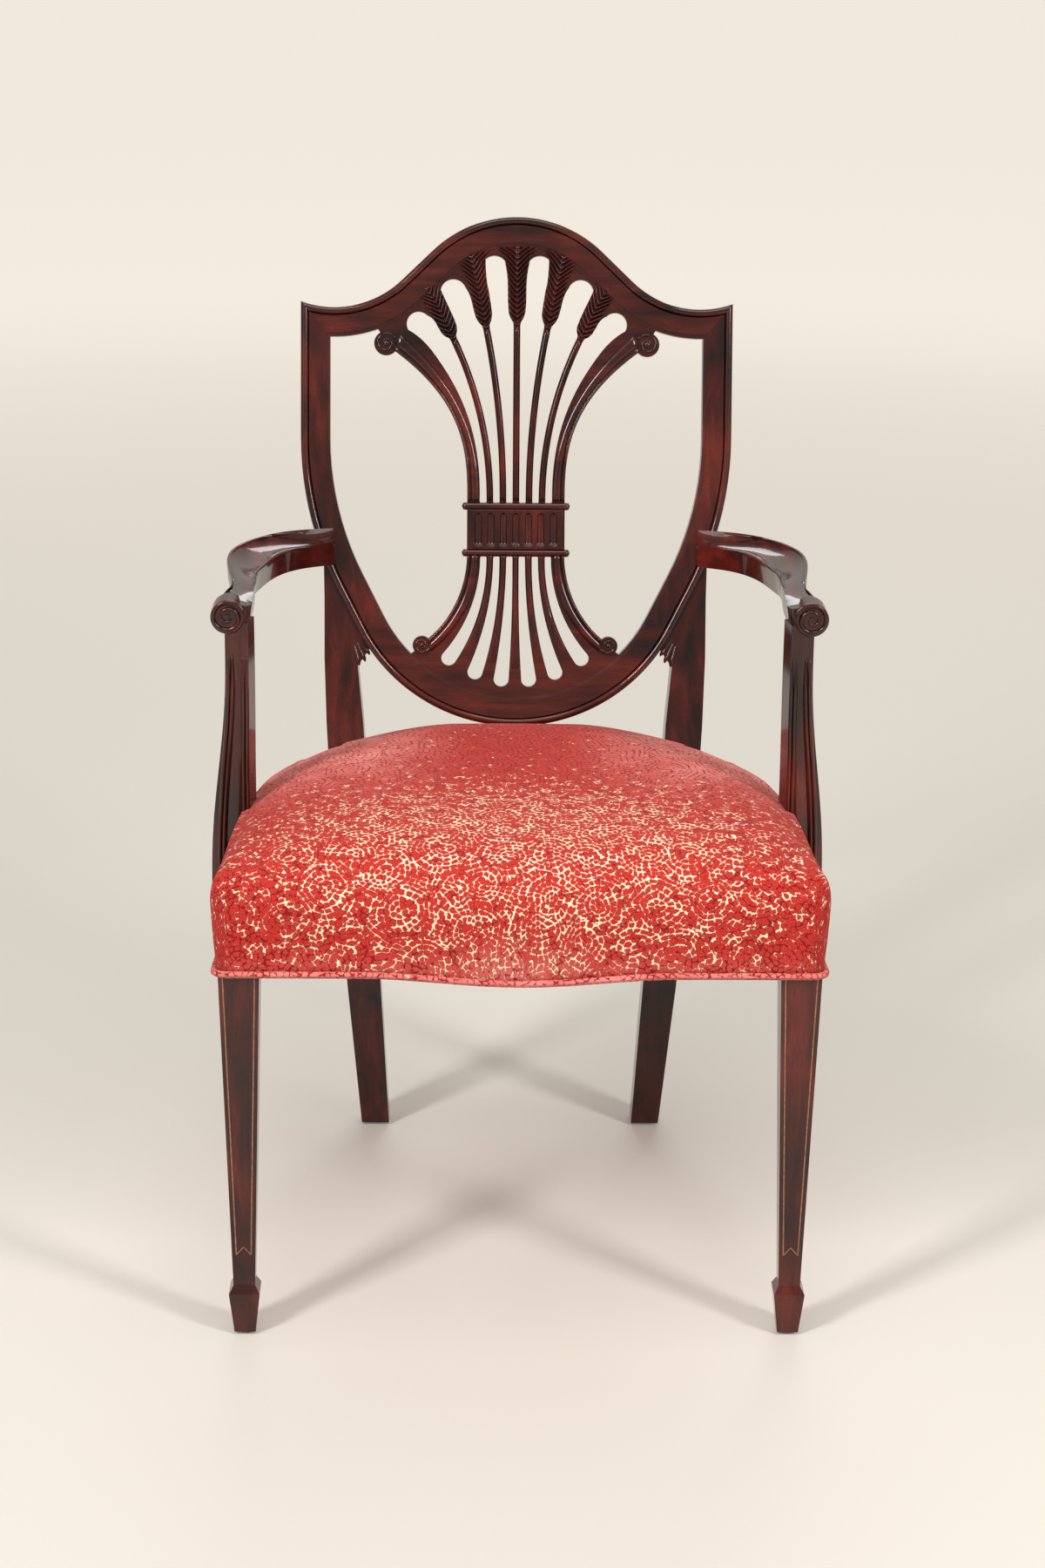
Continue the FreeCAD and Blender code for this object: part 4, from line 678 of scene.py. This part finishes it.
ribs = {
    "slotStarts": (6.43, 19.83, 33.23),
    "slotEnds": ((14.2, 48.5), (41.3, 55.8), (68.4, 70.1)),
    "slotRadius": 3.2,
    "slotEndRadius": 7.7,
    "ends": (56.0, 62.0, 76.0),
    "gap": 0.1,
    "rise": 2.7,
    "fadeShare": 0.35,
    "rows": 40,
}


def slotEdge(i, side, v):
    # where the edge of a lower piercing lies at a height v
    k = ribs
    axis = bentStem(k["slotStarts"][i], bands["lowStart"], *k["slotEnds"][i])
    edge = []
    for n, (u, axisV, heading) in enumerate(axis):
        widening = (n / (len(axis) - 1)) ** 1.6
        reach = k["slotRadius"] + (k["slotEndRadius"] - k["slotRadius"]) * widening
        edge.append((axisV - side * reach * math.sin(heading), u + side * reach * math.cos(heading)))
    edge.sort()
    for (v0, u0), (v1, u1) in zip(edge, edge[1:]):
        if v <= v1:
            return u0 + (u1 - u0) * (v - v0) / (v1 - v0)
    return edge[-1][1]


def ribHeight(s, t):
    fade = min(1.0, (1 - s) / ribs["fadeShare"])
    return 0.3 + ribs["rise"] * halfRound(t) * fade ** 0.8


def carveRibs():
    gap = ribs["gap"]
    for i, word in enumerate(("Centre", "Inner", "Outer")):
        left, right = [], []
        for n in range(ribs["rows"] + 1):
            v = bands["lowStart"] + 2 + (ribs["ends"][i] - bands["lowStart"] - 2) * n / ribs["rows"]
            inner = slotEdge(i, -1, v) - gap
            right.append((inner, v))
            left.append((-inner if i == 0 else slotEdge(i - 1, 1, v) + gap, v))
        for sideName, side in (sides if i else (("", 1),)):
            reliefStrip("lowerRib" + word + sideName.capitalize(), mirrored(left, side),
                        mirrored(right, side), ribHeight, 12, uprightMahogany)


carveRibs()
print("lower ribs carved")


# Binding round the sheaf: a block with seven stopped flutes between two round beads

binding = {
    "halfWidth": 50.2,
    "low": 182.55,
    "high": 223.05,
    "face": -1.0,
    "rise": 2.4,
    "fluteSpacing": 12.85,
    "fluteHalf": 3.6,
    "fluteDepth": 2.3,
    "fluteStop": 3.2,
    "beadOffset": 3.7,
    "beadRadius": 4.0,
    "beadHalf": 51.5,
    "beadLift": 0.4,
}


def carveBinding():
    k = binding
    span = k["high"] - k["low"]
    left = [(-k["halfWidth"], k["low"] + span * i / 60) for i in range(61)]

    def height(s, t):
        u, v = t * k["halfWidth"], k["low"] + s * span
        nearest = max(-3, min(3, round(u / k["fluteSpacing"]))) * k["fluteSpacing"]
        stop = k["fluteStop"] + k["fluteHalf"]
        beyond = max(k["low"] + stop - v, v - (k["high"] - stop), 0.0)
        return k["rise"] - k["fluteDepth"] * halfRound(math.hypot(u - nearest, beyond) / k["fluteHalf"])

    reliefStrip("bindingBlock", left, mirrored(left, -1), height, 260, uprightMahogany, base=k["face"])
    # the beads end in half balls, with a small flat at each tip
    radius = k["beadRadius"]
    angles = [math.pi / 2 * n / 6 for n in range(7)]
    stations = [(-k["beadHalf"] - radius * math.cos(a), radius * math.sin(a)) for a in angles]
    stations[0] = (stations[0][0], 0.15)
    stations += [(-u, r) for u, r in reversed(stations)]
    for word, v in (("Low", k["low"] - k["beadOffset"]), ("High", k["high"] + k["beadOffset"])):
        points = []
        for u, r in stations:
            for up, out in circle(18):
                points.append(onShield(u, v + r * up, shield["splatFace"] + k["beadLift"] + r * out))
        meshPiece("bindingBead" + word, points, tubeFaces(len(stations), 18), crossMahogany)


carveBinding()
print("binding carved")


# Leaf bracket in the corner between post and shield: reeded lobes that fan out downwards

leaf = {
    "root": (173.0, 108.0),
    "tips": ((161.6, 66.0), (156.2, 69.6), (152.2, 76.0), (150.6, 83.6)),
    "reach": 1.1,
    "radius": 3.3,
    "w": (-9.0, -5.0),
    "stations": 12,
    "around": 10,
}


def carveLeaf(side, sideName):
    k = leaf
    points, faces = [], []
    for u, v in k["tips"]:
        faces += tubeFaces(k["stations"] + 1, k["around"], first=len(points))
        for i in range(k["stations"] + 1):
            share = i / k["stations"]
            along = share * k["reach"]
            tip = math.sqrt(max(1 - max(0.0, (share - 0.8) / 0.2) ** 2, 0.02))
            radius = k["radius"] * (0.3 + 0.7 * share) * tip
            w = k["w"][0] + (k["w"][1] - k["w"][0]) * share
            midU = k["root"][0] + (u - k["root"][0]) * along
            midV = k["root"][1] + (v - k["root"][1]) * along
            for out, up in circle(k["around"]):
                points.append(onShield(side * (midU + radius * out), midV, w + 1.4 * radius * up))
    faceOutwards(meshPiece("leafBracket" + sideName.capitalize(), points, faces, uprightMahogany))


for sideName, side in sides:
    carveLeaf(side, sideName)
print("leaf brackets carved")


# String inlay round the front face of each front leg: two lines that run down the taper and end
# in a small point above the foot

legString = {"top": 366.0, "bottom": 84.0, "point": 92.0, "inset": 4.2, "width": 1.1, "proud": 0.25,
             "sunk": 0.8}
legLine = {"x": 257.8, "y": -256.6, "topHalf": 19.0, "ankleHalf": 10.25, "topZ": 370.0, "ankleZ": 52.0}


def legHalf(z):
    k = legLine
    return k["ankleHalf"] + (k["topHalf"] - k["ankleHalf"]) * (z - k["ankleZ"]) / (k["topZ"] - k["ankleZ"])


def layString(side, sideName):
    s = legString
    lines = [[(edge * (legHalf(z) - s["inset"]), z) for z in (s["top"], s["bottom"])] for edge in (-1, 1)]
    halfBottom = legHalf(s["bottom"]) - s["inset"]
    lines.append([(-halfBottom, s["bottom"]), (0.0, s["point"]), (halfBottom, s["bottom"])])
    points, faces = [], []
    for line in lines:
        faces += tubeFaces(len(line), 4, first=len(points))
        for i, (x, z) in enumerate(line):
            before, after = line[max(i - 1, 0)], line[min(i + 1, len(line) - 1)]
            along = Vector((after[0] - before[0], after[1] - before[1])).normalized()
            aside = Vector((-along.y, along.x)) * s["width"] / 2
            for sign, lift in ((-1, s["proud"]), (1, s["proud"]), (1, -s["sunk"]), (-1, -s["sunk"])):
                px, pz = x + sign * aside.x, z + sign * aside.y
                points.append(Vector((side * legLine["x"] + px, legLine["y"] - legHalf(pz) - lift, pz)) * mm)
    meshPiece("legString" + sideName.capitalize(), points, faces, boxwoodString, smooth=False)


for sideName, side in sides:
    layString(side, sideName)
print("string inlay laid")


# Arm scrolls: the hand grip's round front is carved as a volute with a raised eye

volute = {"x": 276.2, "z": 653.8, "radius": 16.2, "inset": 1.9, "eye": 2.2, "thick": 2.1, "thins": 0.45,
          "turns": 1.9, "start": 20, "steps": 90, "around": 10, "lift": 0.3}


def carveVolute(side, sideName):
    k = volute
    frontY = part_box("arm_" + sideName)[0].y / mm
    points = []
    for i in range(k["steps"] + 1):
        share = i / k["steps"]
        angle = math.radians(k["start"]) + 2 * math.pi * k["turns"] * share
        reach = (k["radius"] - k["inset"]) * (1 - share) ** 0.85 + k["eye"]
        thick = k["thick"] * (1 - k["thins"] * share)
        for out, up in circle(k["around"]):
            r = reach + thick * out
            x, z = side * (k["x"] - r * math.cos(angle)), k["z"] + r * math.sin(angle)
            points.append(Vector((x, frontY + k["lift"] - 0.95 * thick * up, z)) * mm)
    faces = tubeFaces(k["steps"] + 1, k["around"])
    faceOutwards(meshPiece("armVolute" + sideName.capitalize(), points, faces, armMahogany))


for sideName, side in sides:
    carveVolute(side, sideName)
print("arm volutes carved")


# Reeds along the front edges of the arm supports, and the raised rims of the dished arm tops. Both
# follow the CAD surfaces, which are felt with rays

def surfaceOf(name):
    mesh = nodes[name].data
    place = nodes[name].matrix_world
    points = [place @ v.co for v in mesh.vertices]
    return BVHTree.FromPolygons(points, [list(f.vertices) for f in mesh.polygons])


def topAt(surface, p):
    return surface.ray_cast(Vector((p.x, p.y, 2)), Vector((0, 0, -1)))[0]


def evenOut(values, passes=6):
    last = len(values) - 1
    for n in range(passes):
        values = [(values[max(i - 1, 0)] + 2 * v + values[min(i + 1, last)]) / 4
                  for i, v in enumerate(values)]
    return values


def layBeads(name, paths, radius, material, around=8):
    points, faces = [], []
    for path in paths:
        faces += tubeFaces(len(path), around, first=len(points))
        last = len(path) - 1
        for i, p in enumerate(path):
            along = (path[min(i + 1, last)] - path[max(i - 1, 0)]).normalized()
            aside = along.orthogonal().normalized()
            other = along.cross(aside)
            r = radius * min(1.0, 0.15 + 6.0 * min(i, last - i) / last)
            for out, up in circle(around):
                points.append(p + aside * (r * out) + other * (r * up))
    faceOutwards(meshPiece(name, points, faces, material))


reeds = {"insets": (2.3 * mm, 6.2 * mm), "radius": 2.1 * mm, "faceDepth": 5 * mm, "count": 44, "rays": 120,
         "footGap": 8 * mm, "bothGaps": 40 * mm, "sunk": 0.1 * mm}


def carveReeds(sideName):
    surface = surfaceOf("arm_support_" + sideName)
    low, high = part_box("arm_support_" + sideName)
    lefts, rights, depths, heights = [], [], [], []
    for i in range(reeds["count"] + 1):
        z = low.z + reeds["footGap"] + (high.z - low.z - reeds["bothGaps"]) * i / reeds["count"]
        hits = []
        for n in range(reeds["rays"] + 1):
            x = low.x + (high.x - low.x) * n / reeds["rays"]
            hit = surface.ray_cast(Vector((x, -2, z)), Vector((0, 1, 0)))[0]
            if hit:
                hits.append(hit)
        nearest = min(hit.y for hit in hits)
        front = [hit for hit in hits if hit.y < nearest + reeds["faceDepth"]]
        lefts.append(min(hit.x for hit in front))
        rights.append(max(hit.x for hit in front))
        depths.append(nearest)
        heights.append(z)
    lefts, rights, depths = evenOut(lefts), evenOut(rights), evenOut(depths)
    paths = []
    for inset in reeds["insets"]:
        for edge, move in ((lefts, inset), (rights, -inset)):
            paths.append([Vector((x + move, y + reeds["sunk"], z)) for x, y, z in zip(edge, depths, heights)])
    layBeads("supportReeds" + sideName.capitalize(), paths, reeds["radius"], uprightMahogany)


armRims = {"inset": 2.2 * mm, "radius": 1.9 * mm, "count": 40, "gripLength": 62 * mm, "reach": 400,
           "endGap": 12 * mm, "sunk": 0.7 * mm}


def carveArmRims(sideName, side):
    surface = surfaceOf("arm_" + sideName)
    low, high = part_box("arm_" + sideName)
    inner = low.x if side > 0 else high.x
    centre = Vector((inner - side * 0.01, low.y + armRims["gripLength"] - 0.01, 0))
    endAngle = math.atan2(high.y - armRims["endGap"] - centre.y, 0.03)
    inners, outers, turns = [], [], []
    for i in range(armRims["count"] + 1):
        angle = endAngle * i / armRims["count"]
        ahead = Vector((side * math.cos(angle), math.sin(angle), 0))
        reaches = []
        for n in range(armRims["reach"]):
            if topAt(surface, centre + ahead * (n * mm)):
                reaches.append(n * mm)
        if reaches:
            inners.append(reaches[0])
            outers.append(reaches[-1])
            turns.append(ahead)
    paths = []
    for reaches, inset in ((evenOut(inners), armRims["inset"]), (evenOut(outers), -armRims["inset"])):
        path = []
        for reach, ahead in zip(reaches, turns):
            top = topAt(surface, centre + ahead * (reach + inset))
            if top:
                path.append(top - Vector((0, 0, armRims["sunk"])))
        heights = evenOut([p.z for p in path])
        paths.append([Vector((p.x, p.y, z)) for p, z in zip(path, heights)])
    layBeads("armRims" + sideName.capitalize(), paths, armRims["radius"], armMahogany)


for sideName, side in sides:
    carveReeds(sideName)
    carveArmRims(sideName, side)
print("reeds and arm rims carved")


# Seat cover: one closed skin over the padding, drawn down over the rails and pulled in at the welt

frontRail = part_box("front_rail")
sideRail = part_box("side_rail_right")
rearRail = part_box("rear_rail")

seat = {
    "frontY": frontRail[1].y - 25 * mm,
    "bow": 21 * mm,
    "bowReach": 150 * mm,
    "frontX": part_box("front_leg_right")[1].x,
    "rearX": sideRail[0].x + 25 * mm,
    "postY": rearRail[0].y,
    "backY": rearRail[1].y,
    "swell": 19 * mm,
    "cover": 2 * mm,
    "corner": 12 * mm,
    "railTop": rearRail[1].z,
    "bottom": rearRail[0].z - 3 * mm,
    "bulge": 5 * mm,
    "shoulder": 26 * mm,
    "crown": 27 * mm,
    "crownReach": 40 * mm,
    "rearDrop": 15 * mm,
    "sideSwell": 9 * mm,
    "step": 6 * mm,
    "tuckIn": 6 * mm,
    "tuckBack": 3 * mm,
    "rings": 34,
    "pressure": 3.0,
    "frames": 18,
    "cap": 3 * mm,
}


def bowAt(x):
    return seat["bow"] * (0.5 + 0.5 * math.cos(math.pi * min(abs(x) / seat["bowReach"], 1.0)))


def seatFrontY(x):
    return seat["frontY"] - bowAt(x)


def seatSideX(y):
    share = (y - seat["frontY"]) / (seat["postY"] - seat["frontY"])
    return seat["frontX"] + (seat["rearX"] - seat["frontX"]) * share + 4 * seat["swell"] * share * (1 - share)


def seatOutline(out):
    # the rails' outline moved outwards, as points from the middle of the front round to the back
    s = seat
    points = []
    front = s["frontY"] - out
    cornerX = seatSideX(front + s["corner"]) + out
    count = int((cornerX - s["corner"]) / s["step"])
    for i in range(count):
        x = (cornerX - s["corner"]) * i / count
        points.append((x, front - bowAt(x)))
    for i in range(6):
        turn = math.pi / 2 * i / 5
        points.append((cornerX - s["corner"] + s["corner"] * math.sin(turn),
                       front + s["corner"] - s["corner"] * math.cos(turn)))
    startY = front + s["corner"]
    count = int((s["postY"] - startY) / s["step"])
    for i in range(1, count + 1):
        y = startY + (s["postY"] - startY) * i / count
        points.append((seatSideX(y) + out, y))
    # behind the post's front face the cloth is tucked in
    backY = s["backY"] + s["cover"]
    tuckX = s["rearX"] - s["tuckIn"]
    points.append((tuckX, s["postY"] + s["tuckBack"]))
    for i in range(1, 4):
        points.append((tuckX, s["postY"] + s["tuckBack"] + (backY - s["postY"] - s["tuckBack"]) * i / 3))
    count = int(tuckX / s["step"])
    for i in range(1, count):
        points.append((tuckX * (1 - i / count), backY))
    left = [(-x, y) for x, y in reversed(points[1:])]
    return [Vector((x, y, 0)) for x, y in points + [(0.0, backY)] + left]


def smoothShare(value, low, high):
    share = min(max((value - low) / (high - low), 0.0), 1.0)
    return share * share * (3 - 2 * share)


def rearDropAt(p):
    # the padding thins towards the two rear corners
    sideways = smoothShare(abs(p.x), 0.3 * seat["rearX"], seat["rearX"])
    return seat["rearDrop"] * sideways * smoothShare(p.y, 0.0, seat["backY"])


def sideSwellAt(p):
    # behind the arm supports the padding stands out over the side rails
    if abs(p.x) < 0.8 * seat["rearX"]:
        return 0.0
    grows = smoothShare(p.y, seat["frontY"] + 60 * mm, -40 * mm)
    return seat["sideSwell"] * grows * smoothShare(-p.y, -seat["postY"] - 5 * mm, -seat["postY"] + 70 * mm)


def keepFlat(piece, flat):
    # each point's place on the flat cloth, which the pattern follows
    attribute = piece.data.attributes.new("clothFlat", "FLOAT_VECTOR", "POINT")
    for i, p in enumerate(flat):
        attribute.data[i].vector = p


def makeSeatCover():
    s = seat
    top = s["railTop"]
    edgeZ = top + s["shoulder"]
    # heights up the side of the cover, and how far it stands out there
    wall = [
        (s["bottom"], 0.0), (s["bottom"] + 12 * mm, 0.6 * mm), (s["bottom"] + 33 * mm, 2.5 * mm),
        (top - 14 * mm, 0.8 * s["bulge"]), (top + 2 * mm, s["bulge"]), (top + 12 * mm, 0.92 * s["bulge"]),
        (top + 20 * mm, 0.55 * s["bulge"]), (edgeZ, 0.0),
    ]
    points, flat = [], []
    base = seatOutline(s["cover"])
    perRing = len(base)
    normals = []
    for i in range(perRing):
        along = base[(i + 1) % perRing] - base[i - 1]
        normals.append(Vector((along.y, -along.x, 0)).normalized())
    for z, out in wall:
        high = smoothShare(z, s["bottom"] + 20 * mm, top + 10 * mm)
        for p, n in zip(base, normals):
            reach = out + sideSwellAt(p) * high
            points.append(p + n * reach + Vector((0, 0, z - rearDropAt(p) * high)))
            flat.append(p + n * (edgeZ - z + out))
    middle = Vector((0, (s["frontY"] + s["backY"]) / 2 + 10 * mm, 0))
    for k in range(1, s["rings"]):
        inward = (k / s["rings"]) ** 1.35
        for p, n in zip(base, normals):
            q = middle + (p + n * sideSwellAt(p) - middle) * (1 - inward)
            endDepth = min(q.y - seatFrontY(q.x), s["backY"] - q.y)
            ends = 1 - math.exp(-max(endDepth, 0.0) / s["crownReach"])
            sidesIn = 1 - math.exp(-max(seatSideX(q.y) - abs(q.x), 0.0) / s["crownReach"])
            points.append(q + Vector((0, 0, edgeZ - rearDropAt(q) + s["crown"] * ends * sidesIn)))
            flat.append(q.copy())
    rings = len(wall) + s["rings"] - 1
    faces = tubeFaces(rings, perRing, caps=False)
    points.append(middle + Vector((0, 0, edgeZ + s["crown"])))
    flat.append(middle.copy())
    hub = len(points) - 1
    lastRing = (rings - 1) * perRing
    for j in range(perRing):
        faces.append((lastRing + j, lastRing + (j + 1) % perRing, hub))
    faces.append(tuple(reversed(range(perRing))))
    piece = meshPiece("seatCover", points, faces, chenilleCloth)
    keepFlat(piece, flat)
    held = piece.vertex_groups.new(name="heldEdge")
    for i in range(perRing * 2):
        held.add([i], 1.0, "REPLACE")
    for k in range(2, len(wall)):
        held.add(list(range(k * perRing, (k + 1) * perRing)), max(0.0, 0.9 - 0.16 * k), "REPLACE")
    return piece


def puffSeat(piece):
    # the padding presses the cover out; no point moves further than the cap
    before = [v.co.copy() for v in piece.data.vertices]
    cloth = piece.modifiers.new("Cloth", "CLOTH")
    settings = {"quality": 5, "mass": 0.4, "tension_stiffness": 30, "compression_stiffness": 30,
                "bending_stiffness": 6, "use_pressure": True, "uniform_pressure_force": seat["pressure"],
                "vertex_group_mass": "heldEdge"}
    for name, value in settings.items():
        setattr(cloth.settings, name, value)
    cloth.settings.effector_weights.gravity = 0.0
    scene = bpy.context.scene
    for number in range(1, seat["frames"] + 1):
        scene.frame_set(number)
    applyModifiers(piece)
    scene.frame_set(1)
    for v, old in zip(piece.data.vertices, before):
        move = v.co - old
        if move.length > seat["cap"]:
            v.co = old + move.normalized() * seat["cap"]


seatCover = makeSeatCover()
puffSeat(seatCover)
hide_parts("seat_cover", "seat_pad")
print("seat cover made")


# Welt: a covered cord along the cover's lower edge, from post to post round the front

welt = {"radius": 3.2 * mm, "around": 10, "sunk": 1.2 * mm, "ripple": 0.06}


def makeWelt():
    s = seat
    radius = welt["radius"]
    line = seatOutline(s["cover"] + radius - welt["sunk"])
    keep = [p for p in line if p.y < s["postY"] - 1 * mm]
    half = [p for p in keep if p.x >= 0]
    path = [Vector((-p.x, p.y, 0)) for p in reversed(half[1:])] + half
    z = s["bottom"] + radius
    points, flat = [], []
    travelled = 0.0
    for i, p in enumerate(path):
        along = (path[min(i + 1, len(path) - 1)] - path[max(i - 1, 0)]).normalized()
        out = Vector((along.y, -along.x, 0))
        travelled += (p - path[i - 1]).length if i else 0.0
        for j in range(welt["around"]):
            turn = 2 * math.pi * j / welt["around"]
            r = radius * (1 + welt["ripple"] * noise.noise(Vector((travelled * 90, turn, 0))))
            points.append(p + out * (r * math.cos(turn)) + Vector((0, 0, z + r * math.sin(turn))))
            flat.append(Vector((travelled + 0.3, turn * radius, 0)))
    faces = tubeFaces(len(path), welt["around"])
    piece = meshPiece("seatWelt", points, faces, chenilleCloth)
    keepFlat(piece, flat)
    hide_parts("seat_welt")


makeWelt()
print("welt made")


# floor, backdrop, light and camera

def backgroundShare(tree):
    # how much a ray sees of the pale background, which polished wood mirrors more weakly
    ray = addNode(tree, "LightPath")
    weaker = addNode(tree, "Math", [ray.outputs["Is Glossy Ray"], 0.35], operation="MULTIPLY")
    seen = addNode(tree, "Math", [ray.outputs["Is Camera Ray"], weaker], operation="MAXIMUM")
    return addNode(tree, "Math", [seen, ray.outputs["Is Transmission Ray"]], operation="MAXIMUM")


stage = {"floor": "#D8D2C8", "glow": "#E9E2D6", "world": "#E6E1D8", "size": 150, "glowReach": (0.8, 6.0),
         "glowStrength": (0.12, 0.82), "worldStrength": (0.3, 0.97)}


def makeStage():
    bm = bmesh.new()
    bmesh.ops.create_grid(bm, x_segments=1, y_segments=1, size=stage["size"])
    mesh = bpy.data.meshes.new("floor")
    bm.to_mesh(mesh)
    bm.free()
    floor = addObject("floor", mesh)
    material, tree, shader = newMaterial("palePaintedFloor")
    # the camera sees an even pale ground, which still takes the chair's shadow
    place = addNode(tree, "TexCoord").outputs["Object"]
    away = addNode(tree, "VectorMath", [place], operation="LENGTH")
    further = addNode(tree, "MapRange", {
        "Value": away.outputs["Value"], "From Min": stage["glowReach"][0], "From Max": stage["glowReach"][1],
        "To Min": stage["glowStrength"][0], "To Max": stage["glowStrength"][1]},
        interpolation_type="SMOOTHSTEP")
    glow = addNode(tree, "Math", [backgroundShare(tree), further], operation="MULTIPLY")
    fillInputs(tree, shader, {
        "Base Color": linearColour(stage["floor"]), "Roughness": 0.6, "Emission Strength": glow,
        "Emission Color": linearColour(stage["glow"])})
    mesh.materials.append(material)


def addArea(name, place, aim, width, height, power):
    data = bpy.data.lights.new(name, "AREA")
    data.shape = "RECTANGLE"
    data.size = width
    data.size_y = height
    data.energy = power
    lamp = addObject(name, data)
    lamp.location = place
    lamp.rotation_euler = (Vector(aim) - Vector(place)).to_track_quat("-Z", "Y").to_euler()


makeStage()
addArea("keyLight", (-2.0, -2.4, 2.6), (0, 0, 0.5), 0.5, 1.5, 85)
addArea("fillLight", (2.2, -2.2, 2.3), (0, 0, 0.5), 0.5, 1.5, 62)
addArea("topLight", (0.0, -1.0, 3.6), (0, 0, 0.4), 1.8, 1.8, 34)
addArea("backLight", (0.3, 2.6, 2.6), (0, 0, 0.7), 2.0, 1.0, 28)
world = bpy.data.worlds.new("studio")
bpy.context.scene.world = world
world.use_nodes = True
skyTree = world.node_tree
dim, bright = stage["worldStrength"]
strength = addNode(skyTree, "MapRange", {"Value": backgroundShare(skyTree), "To Min": dim, "To Max": bright})
fillInputs(skyTree, skyTree.nodes["Background"], {
    "Color": linearColour(stage["world"]), "Strength": strength})

cameraView = {
    "place": (-0.0555, -3.1037, 1.4583),
    "pitch": math.radians(17.75),
    "yaw": math.radians(1.123),
    "roll": math.radians(0.595),
    "lens": 76.0,
    "sensor": 36.0,
}


def makeCamera():
    c = cameraView
    data = bpy.data.cameras.new("photoCamera")
    data.sensor_width = c["sensor"]
    data.lens = c["lens"]
    camera = addObject("photoCamera", data)
    level = math.cos(c["pitch"])
    ahead = Vector((math.sin(c["yaw"]) * level, math.cos(c["yaw"]) * level, -math.sin(c["pitch"])))
    turn = ahead.to_track_quat("-Z", "Y").to_matrix() @ Matrix.Rotation(c["roll"], 3, "Z")
    camera.matrix_world = Matrix.Translation(c["place"]) @ turn.to_4x4()
    bpy.context.scene.camera = camera


makeCamera()
bpy.context.scene.view_settings.view_transform = "Standard"
print("stage, lights and camera made")
